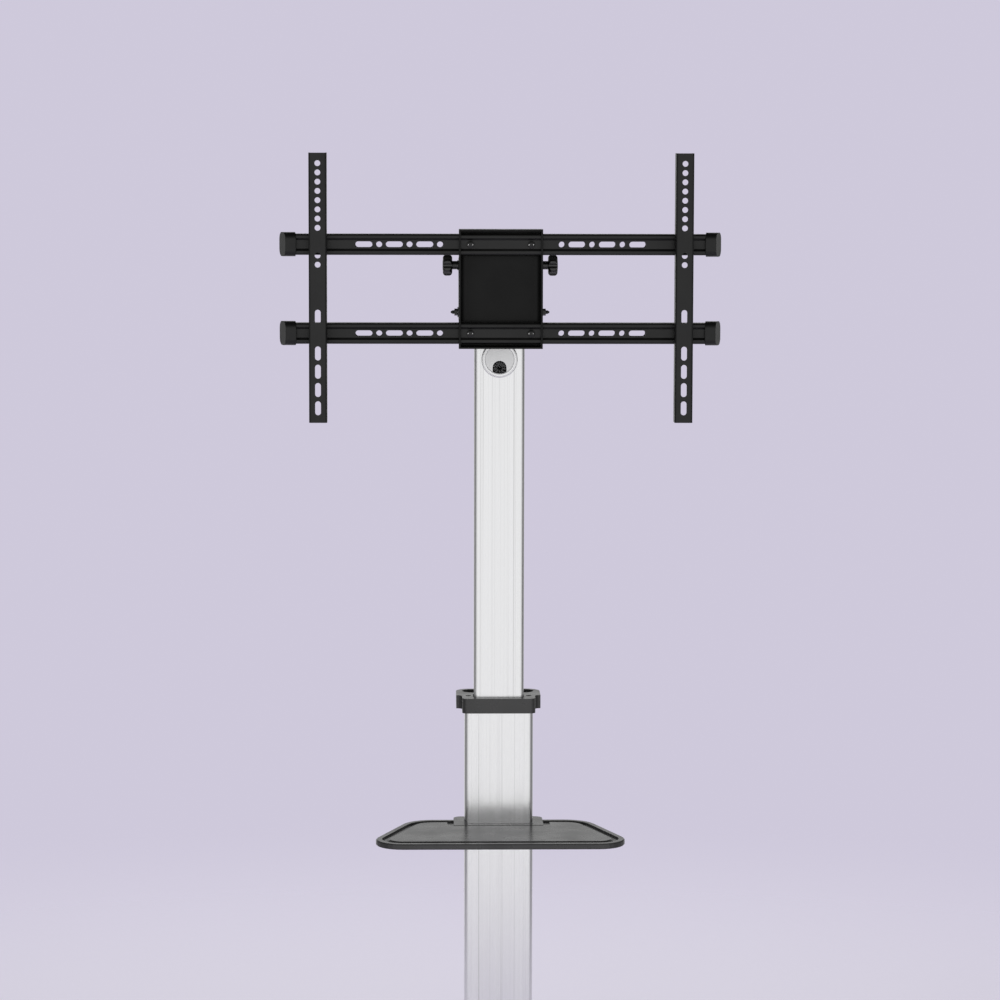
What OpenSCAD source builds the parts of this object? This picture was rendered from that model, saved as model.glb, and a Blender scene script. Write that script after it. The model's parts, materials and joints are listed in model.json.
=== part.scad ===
// Mobile screen stand: a two-stage lifting column on a wheeled base, with a
// tilting cross-rail mount, a cable outlet and a small shelf.
// Millimetres. +Z is up, -Y is the side that carries the screen, and the
// origin lies on the floor under the middle of the base.

/* [Column] */
// Distance of the column's centre behind the middle of the base
column_y = 60; // [40:1:90]
// Width of the inner column
inner_w = 84; // [76:1:96]
// Depth of the inner column
inner_d = 43; // [38:1:50]
// Length of the inner column
inner_len = 912; // [850:1:980]
// Radius of the inner column's corners
inner_r = 7; // [5:0.5:9]
// Wall of both column extrusions
column_wall = 3; // [2.5:0.1:3.5]
// Space between the two columns at each side
guide_gap_x = 12.4; // [11:0.1:15]
// Space between the two columns at front and back
guide_gap_y = 5.5; // [4.5:0.5:8]
// Length of the outer column
outer_len = 795; // [760:1:840]
// Radius of the outer column's corners
outer_r = 8; // [6:0.5:10]
// Height of the guide bush and of the guide shoe
guide_h = 60; // [45:1:75]
// Running gap between sliding faces
slide_gap = 0.4; // [0.3:0.05:0.6]
// Radius of the screw ports inside the outer column
port_r = 4.5; // [4:0.1:5]
// Inset of a screw port's centre from the inside of the wall
port_inset = 3.4; // [3:0.1:4]

/* [Collar] */
// Height of the collar
collar_h = 25; // [21:0.1:28]
// Length of the collar's skirt over the outer column
collar_skirt = 10.1; // [8:0.1:14]
// Thickness of the collar's wall around the outer column
collar_wall = 4.2; // [2.5:0.1:5]
// Radius of the collar's front corners
collar_r = 10; // [7:0.5:12]
// Gap between the collar and the inner column
collar_gap = 0.9; // [0.6:0.1:1.5]
// Height of the cable loop's underside above the collar's underside
loop_rise = 2.5; // [0:0.5:5]
// Overall width of the cable loop behind the collar
loop_w = 142.5; // [142:0.5:156]
// Depth of the opening in the cable loop
loop_open_d = 34; // [28:1:40]
// Thickness of the loop's bar
loop_bar = 7; // [5:0.5:10]
// Radius of the loop's outer rear corners
loop_r = 24; // [20:1:28]

/* [Mount] */
// Distance of the tilt axis below the top of the inner column
pivot_drop = 125.7; // [115:0.1:140]
// Distance of the tilt axis in front of the inner column
pivot_reach = 24.5; // [22:0.5:32]
// Distance of the tilt knobs above the tilt axis
knob_rise = 77.7; // [70:0.1:84]
// Height of the middle of the rails above the tilt axis
head_rise = 40.5; // [36:0.1:46]
// Height between the two rails
rail_pitch = 146; // [140:1:156]
// Forward tilt, top of the screen towards the viewer
tilt_forward = 12; // [5:1:14]
// Backward tilt
tilt_back = 5; // [2:1:6]
// Thickness of the steel sheet of tray, yoke and bracket
sheet = 3; // [2.5:0.1:3.5]
// Gap between the yoke's web and the tilt axis
yoke_gap = 21; // [19:0.5:26]
// Width of the tray
tray_w = 138; // [130:1:150]
// Height of the tray
tray_h = 196; // [190:1:210]
// Depth of the tray's forward flanges
tray_flange = 31; // [29:0.5:36]
// Height of the raised panel in the tray
panel_h = 107; // [90:1:108]
// How far the raised panel stands out
panel_out = 3; // [1:0.5:8]
// Radius of the bends between the raised panel and the side flanges
panel_bend = 10; // [6:0.5:14]
// Thickness of the friction washers between yoke and bracket
friction_t = 1; // [0.8:0.1:1.5]

/* [Rails and arms] */
// Length of a rail without its caps
rail_len = 700; // [680:1:760]
// Height of a rail
rail_h = 34.5; // [30:0.5:36]
// Depth of a rail
rail_d = 27; // [24:0.5:29]
// Radius of a rail's front edges
rail_r = 4; // [2.5:0.5:5]
// Wall of a rail
rail_wall = 2.2; // [1.8:0.1:2.6]
// Height of the channel in a rail's front
recess_h = 21.5; // [19:0.5:22]
// Depth of the channel in a rail's front
recess_d = 3.5; // [2.5:0.5:4]
// Height of each sloping wall of the channel
recess_slope = 3.8; // [2:0.1:4]
// Diameter of the round holes and width of the slots in a rail
rail_hole = 10; // [8:0.5:11]
// Length of a slot in a rail
rail_slot = 28; // [22:1:32]
// Distance between two round holes in a rail
rail_hole_pitch = 50; // [46:1:56]
// Distance of the first round hole from the middle of a rail
rail_first_hole = 100; // [92:1:104]
// Distance between the two arms
arm_pitch = 600; // [580:1:620]
// Width of an arm
arm_w = 29.5; // [27:0.5:34]
// Depth of an arm
arm_d = 28; // [24:0.5:32]
// Length of an arm
arm_len = 441; // [437:1:470]
// Height of an arm's top above the middle of the rails
arm_rise = 223; // [218:1:240]
// Thickness of an arm's sheet
arm_sheet = 2.5; // [2:0.1:3]
// Radius of an arm's bends
arm_bend = 4; // [3.5:0.1:5]
// Diameter of the round holes and width of the slots in an arm
arm_hole = 9.5; // [8:0.5:10]
// Length of a slot in an arm
arm_slot = 23; // [20:1:24]
// Distance from an arm's top to its first hole
arm_first_hole = 17; // [14:1:20]
// Distance between two round holes in an arm
arm_hole_pitch = 15; // [14.5:0.5:15]
// Distance from the first hole to the last slot, the pattern's height
pattern_h = 400; // [396:1:404]

/* [Rail caps] */
// How far an end cap stands out beyond its rail
cap_over = 14.3; // [12.5:0.1:16]
// Length of an end cap
cap_len = 23.7; // [19:0.1:26]
// Thickness of a cap above and below the rail
cap_wall_h = 2.5; // [2.5:0.5:5]
// Thickness of a cap in front of and behind the rail
cap_wall_d = 3; // [3:0.5:5.5]
// Radius of an end cap's edges
cap_r = 12; // [8:0.5:12]
// Slant of an end cap's outer face
cap_slant = 18.5; // [8:0.5:20]
// Slant of an end cap's inner edge
cap_inner_slant = 8; // [0:1:10]

/* [Knobs] */
// Diameter of the tilt knobs
knob_dia = 35; // [32:0.5:40]
// Thickness of a knob's head
knob_head = 15.6; // [12:0.1:18]
// Length of a knob's neck
knob_neck = 8.4; // [6:0.1:12]
// Diameter of a knob's neck
knob_neck_dia = 14; // [12:0.5:15]
// Number of lobes on a knob
knob_lobes = 6; // [5:1:8]
// Diameter of a knob's stud
stud_dia = 8; // [6:0.5:8]
// Diameter of the two clamping knobs behind the column
clamp_knob_dia = 40; // [34:0.5:42]

/* [Cable outlet] */
// Distance of the outlet's centre below the tilt axis
outlet_drop = 80.5; // [78:0.1:90]
// Outer diameter of the outlet's ring
outlet_dia = 60.6; // [56:0.1:68]
// Diameter of the outlet's turning disc
disc_dia = 49; // [46:0.1:50]
// How far the outlet's ring stands out
outlet_out = 3; // [2:0.1:4]
// Width of the cable hole in the disc
cable_hole_w = 23; // [18:0.5:25]
// Number of rubber petals in the cable hole
petals = 10; // [8:1:12]

/* [Shelf] */
// Height of the shelf's rim above the floor
shelf_z = 732.5; // [600:0.5:760]
// Width of the shelf at its front
shelf_front_w = 412; // [380:1:440]
// Width of the shelf at its back
shelf_back_w = 330; // [280:1:350]
// Reach of the shelf in front of the outer column
shelf_reach = 164; // [120:1:180]
// Thickness of the shelf's rim
shelf_t = 9.5; // [9:0.5:14]
// Radius of the shelf's front corners
shelf_front_r = 45; // [30:1:55]
// Radius of the shelf's back corners
shelf_back_r = 54; // [30:1:60]
// Width of the rim around the shelf's panel
shelf_rim = 10; // [7:0.5:12]
// Width of the flat floor of the groove between the rim and the panel
shelf_groove_w = 8; // [3:0.5:10]
// Width of the slope that rises from the groove to the panel
shelf_groove_slope = 5; // [2:0.5:6]
// Depth of the groove below the rim and the panel
shelf_groove = 3; // [2:0.5:4]
// Width of the boss around the column
shelf_boss_w = 151; // [150:1:170]
// Height of the socket that holds the column
shelf_socket_h = 34; // [26:1:40]

/* [Base] */
// Width of the base
base_w = 860; // [820:1:960]
// Depth of the base
base_d = 640; // [620:1:720]
// Width of a leg
leg_w = 60; // [54:1:70]
// Height of the legs and of the cross-beam
leg_h = 30; // [28:1:40]
// Wall of the steel tubes
tube_wall = 2.5; // [2:0.1:3]
// Depth of the cross-beam
beam_d = 110; // [106:1:140]
// Thickness of the foot plate
foot_t = 8; // [6:0.5:10]
// Width of the foot plate
foot_w = 196; // [190:1:230]
// Height of the socket inside the outer column
socket_h = 120; // [90:1:150]

/* [Casters] */
// Height of a caster from the floor to the leg
caster_h = 100; // [100:0.5:106]
// Diameter of a wheel
wheel_dia = 75; // [70:1:75]
// Width of a tyre
tyre_w = 24; // [20:1:26]
// Distance of a caster's swivel axis from the end of its leg
caster_inset = 75; // [74:1:90]
// Distance between a caster's swivel axis and its axle
caster_trail = 25; // [24:0.5:26]

/* [Hidden] */
$fn = 48;
hull_fn = 32;
over = 1;
fit = 0.05;
loose = 0.3;

outer_inside_w = inner_w + 2 * guide_gap_x;
outer_inside_d = inner_d + 2 * guide_gap_y;
outer_w = outer_inside_w + 2 * column_wall;
outer_d = outer_inside_d + 2 * column_wall;
port_x = outer_inside_w / 2 - port_inset;
port_hole_r = 2.4;
port_gap = 0.8;
guide_stop_gap = 0.5;

leg_bottom = caster_h;
leg_top = leg_bottom + leg_h;
outer_bottom = leg_top + foot_t;
outer_top = outer_bottom + outer_len;
bush_bottom = outer_top - guide_h;
shoe_top = bush_bottom - guide_stop_gap;
inner_bottom = shoe_top - guide_h;
inner_top = inner_bottom + inner_len;
column_front = column_y - inner_d / 2;
outer_front = column_y - outer_d / 2;
outer_back = column_y + outer_d / 2;

collar_bottom = outer_top - collar_skirt;
collar_top = collar_bottom + collar_h;
collar_w = outer_w + 2 * collar_wall;
collar_d = outer_d + 2 * collar_wall;
collar_back = column_y + collar_d / 2;
loop_back = collar_back + loop_open_d + loop_bar;
loop_front = column_y + 5;
loop_waist_edge = 0.65;
loop_waist_r = (loop_w - collar_w) / 2 - loop_waist_edge;
loop_hole_inset = 3.5;
collar_sink_r = 4.5;
collar_sink = 3;

tilt_z = inner_top - pivot_drop;
tilt_y = column_front - pivot_reach;
yoke_back = tilt_y - yoke_gap;
tray_back = yoke_back - sheet;
rail_back = tray_back - sheet;
rail_front = rail_back - rail_d;
recess_y = rail_front + recess_d;
arm_front = rail_front - arm_d;
tray_front = rail_back - tray_flange;
head_z = tilt_z + head_rise;
cheek_in = tray_w / 2 - sheet;
bracket_w = tray_w - 2 * sheet - 2 * friction_t;
cheek_r = 11;
yoke_edge = 13;
yoke_rear_edge = 7;
pivot_r = 3;
pivot_nut_af = 10;
pivot_nut_t = 5.2;
pivot_tip = 3;
pivot_point = 3.1;
pivot_point_r = 1.3;
washer_r = 8.5;
washer_t = 1.6;
knob_washer_r = 8.25;
knob_washer_t = 2;
knob_lobe_share = 0.16;
knob_core_share = 0.39;
friction_r = 10;
bracket_screw_x = 28;
bracket_screw_r = 3;
bracket_screw_zs = [tilt_z + 12, tilt_z + 64];
weld_nut_af = 13;
weld_nut_t = 7;
slot_r = 4.5;
tray_bend = 4;
seam = 0.8;
panel_corner = 2;
window_gap = 0.5;
rail_screw_x = 50;
rail_screw_r = 4;
rail_screw_head_r = 6;
rail_screw_head_t = 4.2;
rail_nut_af = 13;
rail_nut_t = 6.5;
arm_bolt_r = 4;
arm_bolt_head_r = 6.5;
arm_bolt_head_t = 8;
socket_af = 5;
nut_block_w = 24;
cap_h = rail_h + 2 * cap_wall_h;
cap_d = rail_d + 2 * cap_wall_d;
nut_block_gap = 0.45;
nut_block_h = recess_h - 2 * (recess_slope + nut_block_gap);
nut_block_front = 6;

rail_span = rail_len + 2 * cap_over;
rail_zs = [head_z - rail_pitch / 2, head_z + rail_pitch / 2];
arm_xs = [-arm_pitch / 2, arm_pitch / 2];
arm_top = head_z + arm_rise;
pattern_z = arm_top - arm_first_hole;
upper_holes = [for (i = [0:7]) i];
middle_holes = [10, 11];
slot_offsets = [0, 30, 60, 90, 150];

outlet_z = tilt_z - outlet_drop;
outlet_barrel_r = disc_dia / 2 + 1.5;
outlet_depth = 9;
disc_t = 2.4;
petal_t = 1.2;
petal_slit = 0.7;
cable_hole_top = 2;

lock_z = bush_bottom + guide_h / 3;
insert_r = 6;
insert_flange_r = 9;
insert_flange_t = 1.5;
lock_knob_seat = outer_back + insert_flange_t + loose;
stud_r = stud_dia / 2;
stud_hold = 8;
clamp_gap = 0.4;

shelf_bottom = shelf_z - shelf_t;
shelf_front = outer_front - shelf_reach;
shelf_back = column_y + 14;
shelf_floor_t = 2.5;
shelf_edge = 1.5;
shelf_boss_reach = 5.5;
shelf_boss_gap = 11;
shelf_boss_moat = 4;
shelf_panel_r = 12;
shelf_rib_count = 5;
shelf_gap = 0.3;
rib_t = 2.5;
clamp_wall = 12;
clamp_w = shelf_boss_w;
clamp_back = outer_back + clamp_gap + clamp_wall;
clamp_screw_x = outer_w / 2 + 10;
clamp_screw_r = 2.5;
clamp_screw_head_r = 4.5;
clamp_screw_sink = 10;
clamp_screw_grip = 16;
clamp_r = 14;
shelf_knob_seat = clamp_back + loose;
clamp_z = shelf_z - shelf_socket_h / 2;

leg_x = base_w / 2 - leg_w / 2;
leg_cap_t = 8;
beam_w = base_w - 2 * leg_w;
foot_bolt_x = foot_w / 2 - 16;
foot_bolt_y = beam_d / 2 - 16;
foot_bolt_r = 4;
foot_head_r = 7;
foot_head_t = 4.5;
foot_nut_af = 13;
foot_nut_t = 6.5;
socket_screw_r = 3;
socket_screw_x = 30;
socket_screw_z = outer_bottom + socket_h / 2;
exit_r = 22;
exit_z = outer_bottom + socket_h + exit_r + 6;
leg_r = 8;
beam_r = 4;
foot_r = 8;

caster_y = base_d / 2 - caster_inset;
caster_spots = [[-1, -1], [1, -1], [-1, 1], [1, 1]];
wheel_r = wheel_dia / 2;
stem_r = 5;
stem_up = 22;
king_collar_t = 6;
king_collar_af = 17;
race_r = 20;
race_taper = 3;
race_t = 6;
race_gap = 0.5;
crown_t = 7;
crown_r = 22;
crown_top = caster_h - king_collar_t - race_t - race_gap;
crown_bottom = crown_top - crown_t;
rivet_r = 7.5;
rivet_t = 3.5;
rivet_gap = 0.5;
fork_in = tyre_w / 2 + 4;
fork_t = 3;
axle_r = 4;
axle_head_r = 7;
axle_head_t = 3;
axle_pad_r = 11;
hub_gap = 0.5;
hub_r = 26;
tyre_round = 6;
pedal_pin_y = 31;
pedal_pin_z = crown_bottom - 0.5;
pedal_pin_r = 2;
pedal_eye_r = 4.5;
pedal_reach = 38;
pedal_w = 36;
pedal_t = 5;
pedal_ear_r = 6;
shoe_clear = 4.8;

pivot_sides = [-1, 1];

// Extrudes a YZ outline along X
module along_x(from, to) {
    translate([from, 0, 0]) rotate([90, 0, 90]) linear_extrude(to - from) children();
}

// Extrudes an XZ outline along Y
module along_y(from, to) {
    translate([0, to, 0]) rotate([90, 0, 0]) linear_extrude(to - from) children();
}

// Extrudes an XY outline along Z
module along_z(from, to) {
    translate([0, 0, from]) linear_extrude(to - from) children();
}

// Rectangle with four round corners
module rounded_rect(w, h, r) {
    square([w - 2 * r, h], center = true);
    square([w, h - 2 * r], center = true);
    for (x = [-1, 1], y = [-1, 1]) translate([x * (w / 2 - r), y * (h / 2 - r)]) circle(r);
}

// Rectangle from y = 0 to y = d with its two corners at y = 0 rounded
module round_front(w, d, r) {
    translate([-w / 2, r]) square([w, d - r]);
    translate([-w / 2 + r, 0]) square([w - 2 * r, d]);
    for (side = [-1, 1]) translate([side * (w / 2 - r), r]) circle(r);
}

// Slot along the first axis
module slot_2d(length, width) {
    square([length - width, width], center = true);
    for (side = [-1, 1]) translate([side * (length - width) / 2, 0]) circle(width / 2);
}

// Hexagon by its width across flats
module hexagon(af) {
    circle(r = af / sqrt(3), $fn = 6);
}

// Screw with a domed head and a hexagon socket, its seat at z = 0 and its head above
module button_screw(r, length, head_r, head_t, socket) {
    difference() {
        union() {
            translate([0, 0, -length]) cylinder(r = r, h = length);
            rotate_extrude() intersection() {
                square([head_r, head_t]);
                union() {
                    square([head_r, head_t / 3]);
                    translate([0, head_t - 1.8 * head_r]) circle(1.8 * head_r, $fn = 96);
                }
            }
        }
        translate([0, 0, head_t / 3]) linear_extrude(head_t) hexagon(socket);
    }
}

// Lobed clamping knob that sits on z = 0 and points up, with a blind hole for its stud
module star_knob(dia, neck) {
    lobe_r = dia * knob_lobe_share;
    core_r = dia * knob_core_share;
    edge_r = 5.5;
    difference() {
        union() {
            cylinder(d = knob_neck_dia, h = neck + over);
            intersection() {
                translate([0, 0, neck]) linear_extrude(knob_head) union() {
                    circle(core_r);
                    for (i = [0:knob_lobes - 1]) rotate(i * 360 / knob_lobes)
                        translate([dia / 2 - lobe_r, 0]) circle(lobe_r);
                }
                rotate_extrude() translate([0, neck]) difference() {
                    translate([0, knob_head / 2]) intersection() {
                        rounded_rect(dia, knob_head, edge_r);
                        translate([0, -knob_head]) square([dia, 2 * knob_head]);
                    }
                    translate([0, knob_head]) circle(edge_r);
                }
            }
        }
        translate([0, 0, -over]) cylinder(r = stud_r, h = neck + stud_hold + over);
    }
}

// Profile of the screw ports on both sides of the outer column
module ports(r) {
    for (side = [-1, 1]) translate([side * port_x, 0]) circle(r);
}

// Outline of the space inside the outer column, reduced by a gap, without the ports
module guide_outline(gap) {
    difference() {
        rounded_rect(outer_inside_w - 2 * gap, outer_inside_d - 2 * gap, outer_r - column_wall);
        for (side = [-1, 1]) translate([side * port_x, 0]) {
            circle(port_r + port_gap);
            translate([side * outer_inside_w / 4, 0])
                square([outer_inside_w / 2, 2 * (port_r + port_gap)], center = true);
        }
    }
}

module outer_column() {
    color([0.80, 0.80, 0.81]) difference() {
        translate([0, column_y, 0]) along_z(outer_bottom, outer_top) difference() {
            union() {
                difference() {
                    rounded_rect(outer_w, outer_d, outer_r);
                    rounded_rect(outer_inside_w, outer_inside_d, outer_r - column_wall);
                }
                intersection() {
                    ports(port_r);
                    rounded_rect(outer_w - column_wall, outer_d - column_wall, outer_r - column_wall / 2);
                }
            }
            ports(port_hole_r);
        }
        translate([0, outer_back - column_wall - over, lock_z]) rotate([-90, 0, 0])
            cylinder(r = insert_r, h = column_wall + 2 * over);
        translate([0, outer_back - column_wall - over, exit_z]) rotate([-90, 0, 0])
            cylinder(r = exit_r, h = column_wall + 2 * over);
        for (side = [-1, 1]) translate([side * socket_screw_x, outer_front - over, socket_screw_z])
            rotate([-90, 0, 0]) cylinder(r = socket_screw_r + fit, h = outer_d + 2 * over);
    }
}

// Plastic bush fixed in the outer column's top, in which the inner column runs
module guide_bush() {
    color([0.08, 0.08, 0.08]) difference() {
        translate([0, column_y, 0]) along_z(bush_bottom, outer_top) difference() {
            guide_outline(0);
            rounded_rect(inner_w + 2 * slide_gap, inner_d + 2 * slide_gap, inner_r + slide_gap);
        }
        translate([0, column_y, lock_z]) rotate([-90, 0, 0])
            cylinder(r = insert_r + loose, h = outer_d);
    }
}

// Plastic shoe on the inner column's foot, which runs in the outer column
module guide_shoe() {
    color([0.08, 0.08, 0.08]) translate([0, column_y, 0]) along_z(inner_bottom, shoe_top) difference() {
        guide_outline(slide_gap);
        rounded_rect(inner_w, inner_d, inner_r);
    }
}

// Collar on the outer column, with a cable loop behind it
module collar() {
    loop_d = loop_back - loop_front;
    waist_x = collar_w / 2 + loop_waist_r;
    color([0.16, 0.16, 0.17]) difference() {
        union() {
            along_z(collar_bottom, collar_top) translate([0, column_y])
                rounded_rect(collar_w, collar_d, collar_r);
            along_z(collar_bottom + loop_rise, collar_top) difference() {
                union() {
                    translate([0, loop_back]) mirror([0, 1]) round_front(loop_w, loop_d, loop_r);
                    translate([-waist_x, loop_front - loop_waist_r])
                        square([2 * waist_x, 2 * loop_waist_r]);
                }
                for (side = [-1, 1]) translate([side * waist_x, loop_front - loop_waist_r])
                    circle(loop_waist_r);
            }
        }
        along_z(collar_bottom - over, collar_top + over) {
            translate([0, collar_back + loop_open_d / 2])
                slot_2d(loop_w - 2 * (loop_bar + loop_hole_inset), loop_open_d);
            translate([0, column_y])
                rounded_rect(inner_w + 2 * collar_gap, inner_d + 2 * collar_gap, inner_r + collar_gap);
        }
        translate([0, column_y, 0]) along_z(collar_bottom - over, outer_top)
            rounded_rect(outer_w, outer_d, outer_r);
        for (side = [-1, 1]) translate([side * port_x, column_y, outer_top - over])
            cylinder(r = port_hole_r + loose, h = collar_h);
        for (side = [-1, 1]) translate([side * port_x, column_y, collar_top - collar_sink])
            cylinder(r = collar_sink_r, h = collar_sink + over);
    }
}

module collar_screws() {
    color([0.1, 0.1, 0.1]) for (side = [-1, 1]) translate([side * port_x, column_y, collar_top - collar_sink])
        button_screw(port_hole_r, 26, 4, 2.4, 2.5);
}

// Threaded insert in the outer column's back wall for the height lock
module lock_insert() {
    inside = column_y + inner_d / 2 + slide_gap + loose;
    color([0.75, 0.72, 0.6]) difference() {
        translate([0, 0, lock_z]) rotate([-90, 0, 0]) {
            translate([0, 0, inside]) cylinder(r = insert_r, h = outer_back - inside);
            translate([0, 0, outer_back]) cylinder(r = insert_flange_r, h = insert_flange_t);
        }
        translate([0, 0, lock_z]) rotate([-90, 0, 0]) translate([0, 0, inside - over])
            cylinder(r = stud_r + fit, h = outer_d);
    }
}

module lock_knob() {
    color([0.05, 0.05, 0.05]) translate([0, lock_knob_seat, lock_z]) rotate([-90, 0, 0])
        star_knob(clamp_knob_dia, knob_neck);
}

module lock_stud() {
    tip = column_y + inner_d / 2 + loose;
    color([0.7, 0.7, 0.72]) translate([0, tip, lock_z]) rotate([-90, 0, 0])
        cylinder(r = stud_r, h = lock_knob_seat + knob_neck + stud_hold - tip);
}

// Ring that lines the hole where the cables leave the outer column
module cable_exit_grommet() {
    lip = 4;
    lip_t = 2;
    color([0.08, 0.08, 0.08]) translate([0, outer_back, exit_z]) rotate([-90, 0, 0]) difference() {
        union() {
            cylinder(r = exit_r + lip, h = lip_t);
            translate([0, 0, -column_wall - lip_t]) cylinder(r = exit_r, h = column_wall + lip_t);
        }
        translate([0, 0, -column_wall - lip_t - over]) cylinder(r = exit_r - lip_t, h = outer_d);
    }
}

module cross_beam() {
    color([0.06, 0.06, 0.06]) difference() {
        translate([0, column_y, leg_bottom + leg_h / 2]) along_x(-beam_w / 2, beam_w / 2) difference() {
            rounded_rect(beam_d, leg_h, beam_r);
            rounded_rect(beam_d - 2 * tube_wall, leg_h - 2 * tube_wall, beam_r - tube_wall + over);
        }
        for (x = [-1, 1], y = [-1, 1])
            translate([x * foot_bolt_x, column_y + y * foot_bolt_y, leg_bottom - over])
                cylinder(r = foot_bolt_r + loose, h = leg_h + 2 * over);
    }
}

module base_legs() {
    half = base_d / 2 - leg_cap_t;
    color([0.06, 0.06, 0.06]) for (side = [-1, 1]) difference() {
        translate([side * leg_x, 0, leg_bottom + leg_h / 2]) along_y(-half, half) difference() {
            rounded_rect(leg_w, leg_h, leg_r);
            rounded_rect(leg_w - 2 * tube_wall, leg_h - 2 * tube_wall, leg_r - tube_wall);
        }
        for (y = [-1, 1]) translate([side * leg_x, y * caster_y, leg_bottom - over])
            cylinder(r = stem_r + loose, h = tube_wall + 2 * over);
    }
}

// Plastic caps that close the four leg ends
module leg_caps() {
    half = base_d / 2 - leg_cap_t;
    plug = 20;
    round = 6;
    color([0.05, 0.05, 0.05]) for (side = [-1, 1], end = [-1, 1])
        translate([side * leg_x, end * half, leg_bottom + leg_h / 2]) rotate([0, 0, end > 0 ? 0 : 180]) {
            intersection() {
                along_y(0, leg_cap_t) rounded_rect(leg_w, leg_h, leg_r);
                along_x(-leg_w, leg_w) translate([leg_cap_t, 0]) rotate(90)
                    round_front(leg_h, 2 * leg_cap_t, round);
            }
            along_y(-plug, 0) difference() {
                rounded_rect(leg_w - 2 * tube_wall, leg_h - 2 * tube_wall, leg_r - tube_wall);
                rounded_rect(leg_w - 4 * tube_wall, leg_h - 4 * tube_wall, leg_r - 2 * tube_wall);
            }
        }
}

// Foot plate with a socket that stands inside the outer column
module foot_plate() {
    color([0.06, 0.06, 0.06]) difference() {
        translate([0, column_y, 0]) union() {
            along_z(leg_top, outer_bottom) rounded_rect(foot_w, beam_d, foot_r);
            along_z(outer_bottom - over, outer_bottom + socket_h) difference() {
                guide_outline(0);
                rounded_rect(outer_inside_w - 4 * sheet - 8, outer_inside_d - 2 * sheet, 3);
            }
        }
        for (x = [-1, 1], y = [-1, 1])
            translate([x * foot_bolt_x, column_y + y * foot_bolt_y, leg_top - over])
                cylinder(r = foot_bolt_r + loose, h = foot_t + 2 * over);
        for (side = [-1, 1]) translate([side * socket_screw_x, outer_front, socket_screw_z])
            rotate([-90, 0, 0]) cylinder(r = socket_screw_r + fit, h = outer_d);
    }
}

// Foot bolts with their nuts, and the screws that hold the column on its socket
module foot_screws() {
    bolt_len = foot_t + leg_h + foot_nut_t + 2;
    color([0.12, 0.12, 0.12]) {
        for (x = [-1, 1], y = [-1, 1])
            translate([x * foot_bolt_x, column_y + y * foot_bolt_y, 0]) {
                translate([0, 0, outer_bottom])
                    button_screw(foot_bolt_r, bolt_len, foot_head_r, foot_head_t, socket_af);
                translate([0, 0, leg_bottom - foot_nut_t]) linear_extrude(foot_nut_t) difference() {
                    hexagon(foot_nut_af);
                    circle(foot_bolt_r);
                }
            }
        for (side = [-1, 1], face = [-1, 1])
            translate([side * socket_screw_x, column_y + face * outer_d / 2, socket_screw_z])
                rotate([-face * 90, 0, 0]) button_screw(socket_screw_r, 12, 5.5, 3.2, 4);
    }
}

// Places a caster's piece at its corner of the base, with its trail pointing outwards
module at_caster(i) {
    spot = caster_spots[i - 1];
    translate([spot[0] * leg_x, spot[1] * caster_y, 0]) rotate([0, 0, spot[1] > 0 ? 0 : 180]) children();
}

// Fixed stems with hexagon collar, ball race and king pin
module caster_stems() {
    color([0.7, 0.7, 0.72]) for (i = [1:4]) at_caster(i) {
        cup_bottom = crown_top + race_gap;
        translate([0, 0, caster_h]) cylinder(r = stem_r, h = stem_up);
        translate([0, 0, caster_h - king_collar_t]) linear_extrude(king_collar_t) hexagon(king_collar_af);
        translate([0, 0, cup_bottom]) cylinder(r1 = race_r, r2 = race_r - race_taper, h = race_t);
        translate([0, 0, crown_bottom - rivet_gap - rivet_t])
            cylinder(r = stem_r, h = cup_bottom - crown_bottom + rivet_gap + rivet_t);
        translate([0, 0, crown_bottom - rivet_gap - rivet_t]) cylinder(r = rivet_r, h = rivet_t);
    }
}

// Side outline of a fork plate, from the crown over the axle to the brake's ear
module fork_outline() {
    hull() {
        translate([-crown_r + 4, crown_bottom]) square([2 * crown_r - 8, crown_t]);
        translate([caster_trail, wheel_r]) circle(axle_pad_r, $fn = hull_fn);
        translate([pedal_pin_y, pedal_pin_z]) circle(pedal_ear_r, $fn = hull_fn);
    }
}

module caster_fork(i) {
    color([0.72, 0.72, 0.74]) at_caster(i) {
        difference() {
            union() {
                translate([0, 0, crown_bottom]) cylinder(r = crown_r, h = crown_t);
                for (side = [-1, 1]) translate([side * (fork_in + fork_t / 2), 0, 0])
                    along_x(-fork_t / 2, fork_t / 2) fork_outline();
            }
            translate([0, 0, crown_bottom - over]) cylinder(r = stem_r + fit, h = crown_t + 2 * over);
        }
        translate([0, caster_trail, wheel_r]) rotate([0, 90, 0]) {
            cylinder(r = axle_r, h = 2 * fork_in + fork_t, center = true);
            for (side = [-1, 1]) translate([0, 0, side * (fork_in + fork_t + axle_head_t / 2)])
                cylinder(r = axle_head_r, h = axle_head_t, center = true);
        }
        translate([0, pedal_pin_y, pedal_pin_z]) rotate([0, 90, 0])
            cylinder(r = pedal_pin_r, h = 2 * fork_in + fork_t, center = true);
    }
}

// Puts a turned shape on a caster's axle
module on_axle(i) {
    at_caster(i) translate([0, caster_trail, wheel_r]) rotate([0, 90, 0]) children();
}

module caster_hub(i) {
    web_t = 6;
    boss_r = 9;
    rim_t = 4;
    color([0.35, 0.36, 0.38]) on_axle(i) difference() {
        union() {
            cylinder(r = boss_r, h = 2 * (fork_in - hub_gap), center = true);
            cylinder(r = hub_r, h = web_t, center = true);
            difference() {
                cylinder(r = hub_r, h = tyre_w - 2, center = true);
                cylinder(r = hub_r - rim_t, h = tyre_w, center = true);
            }
        }
        cylinder(r = axle_r + fit, h = 3 * tyre_w, center = true);
    }
}

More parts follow.
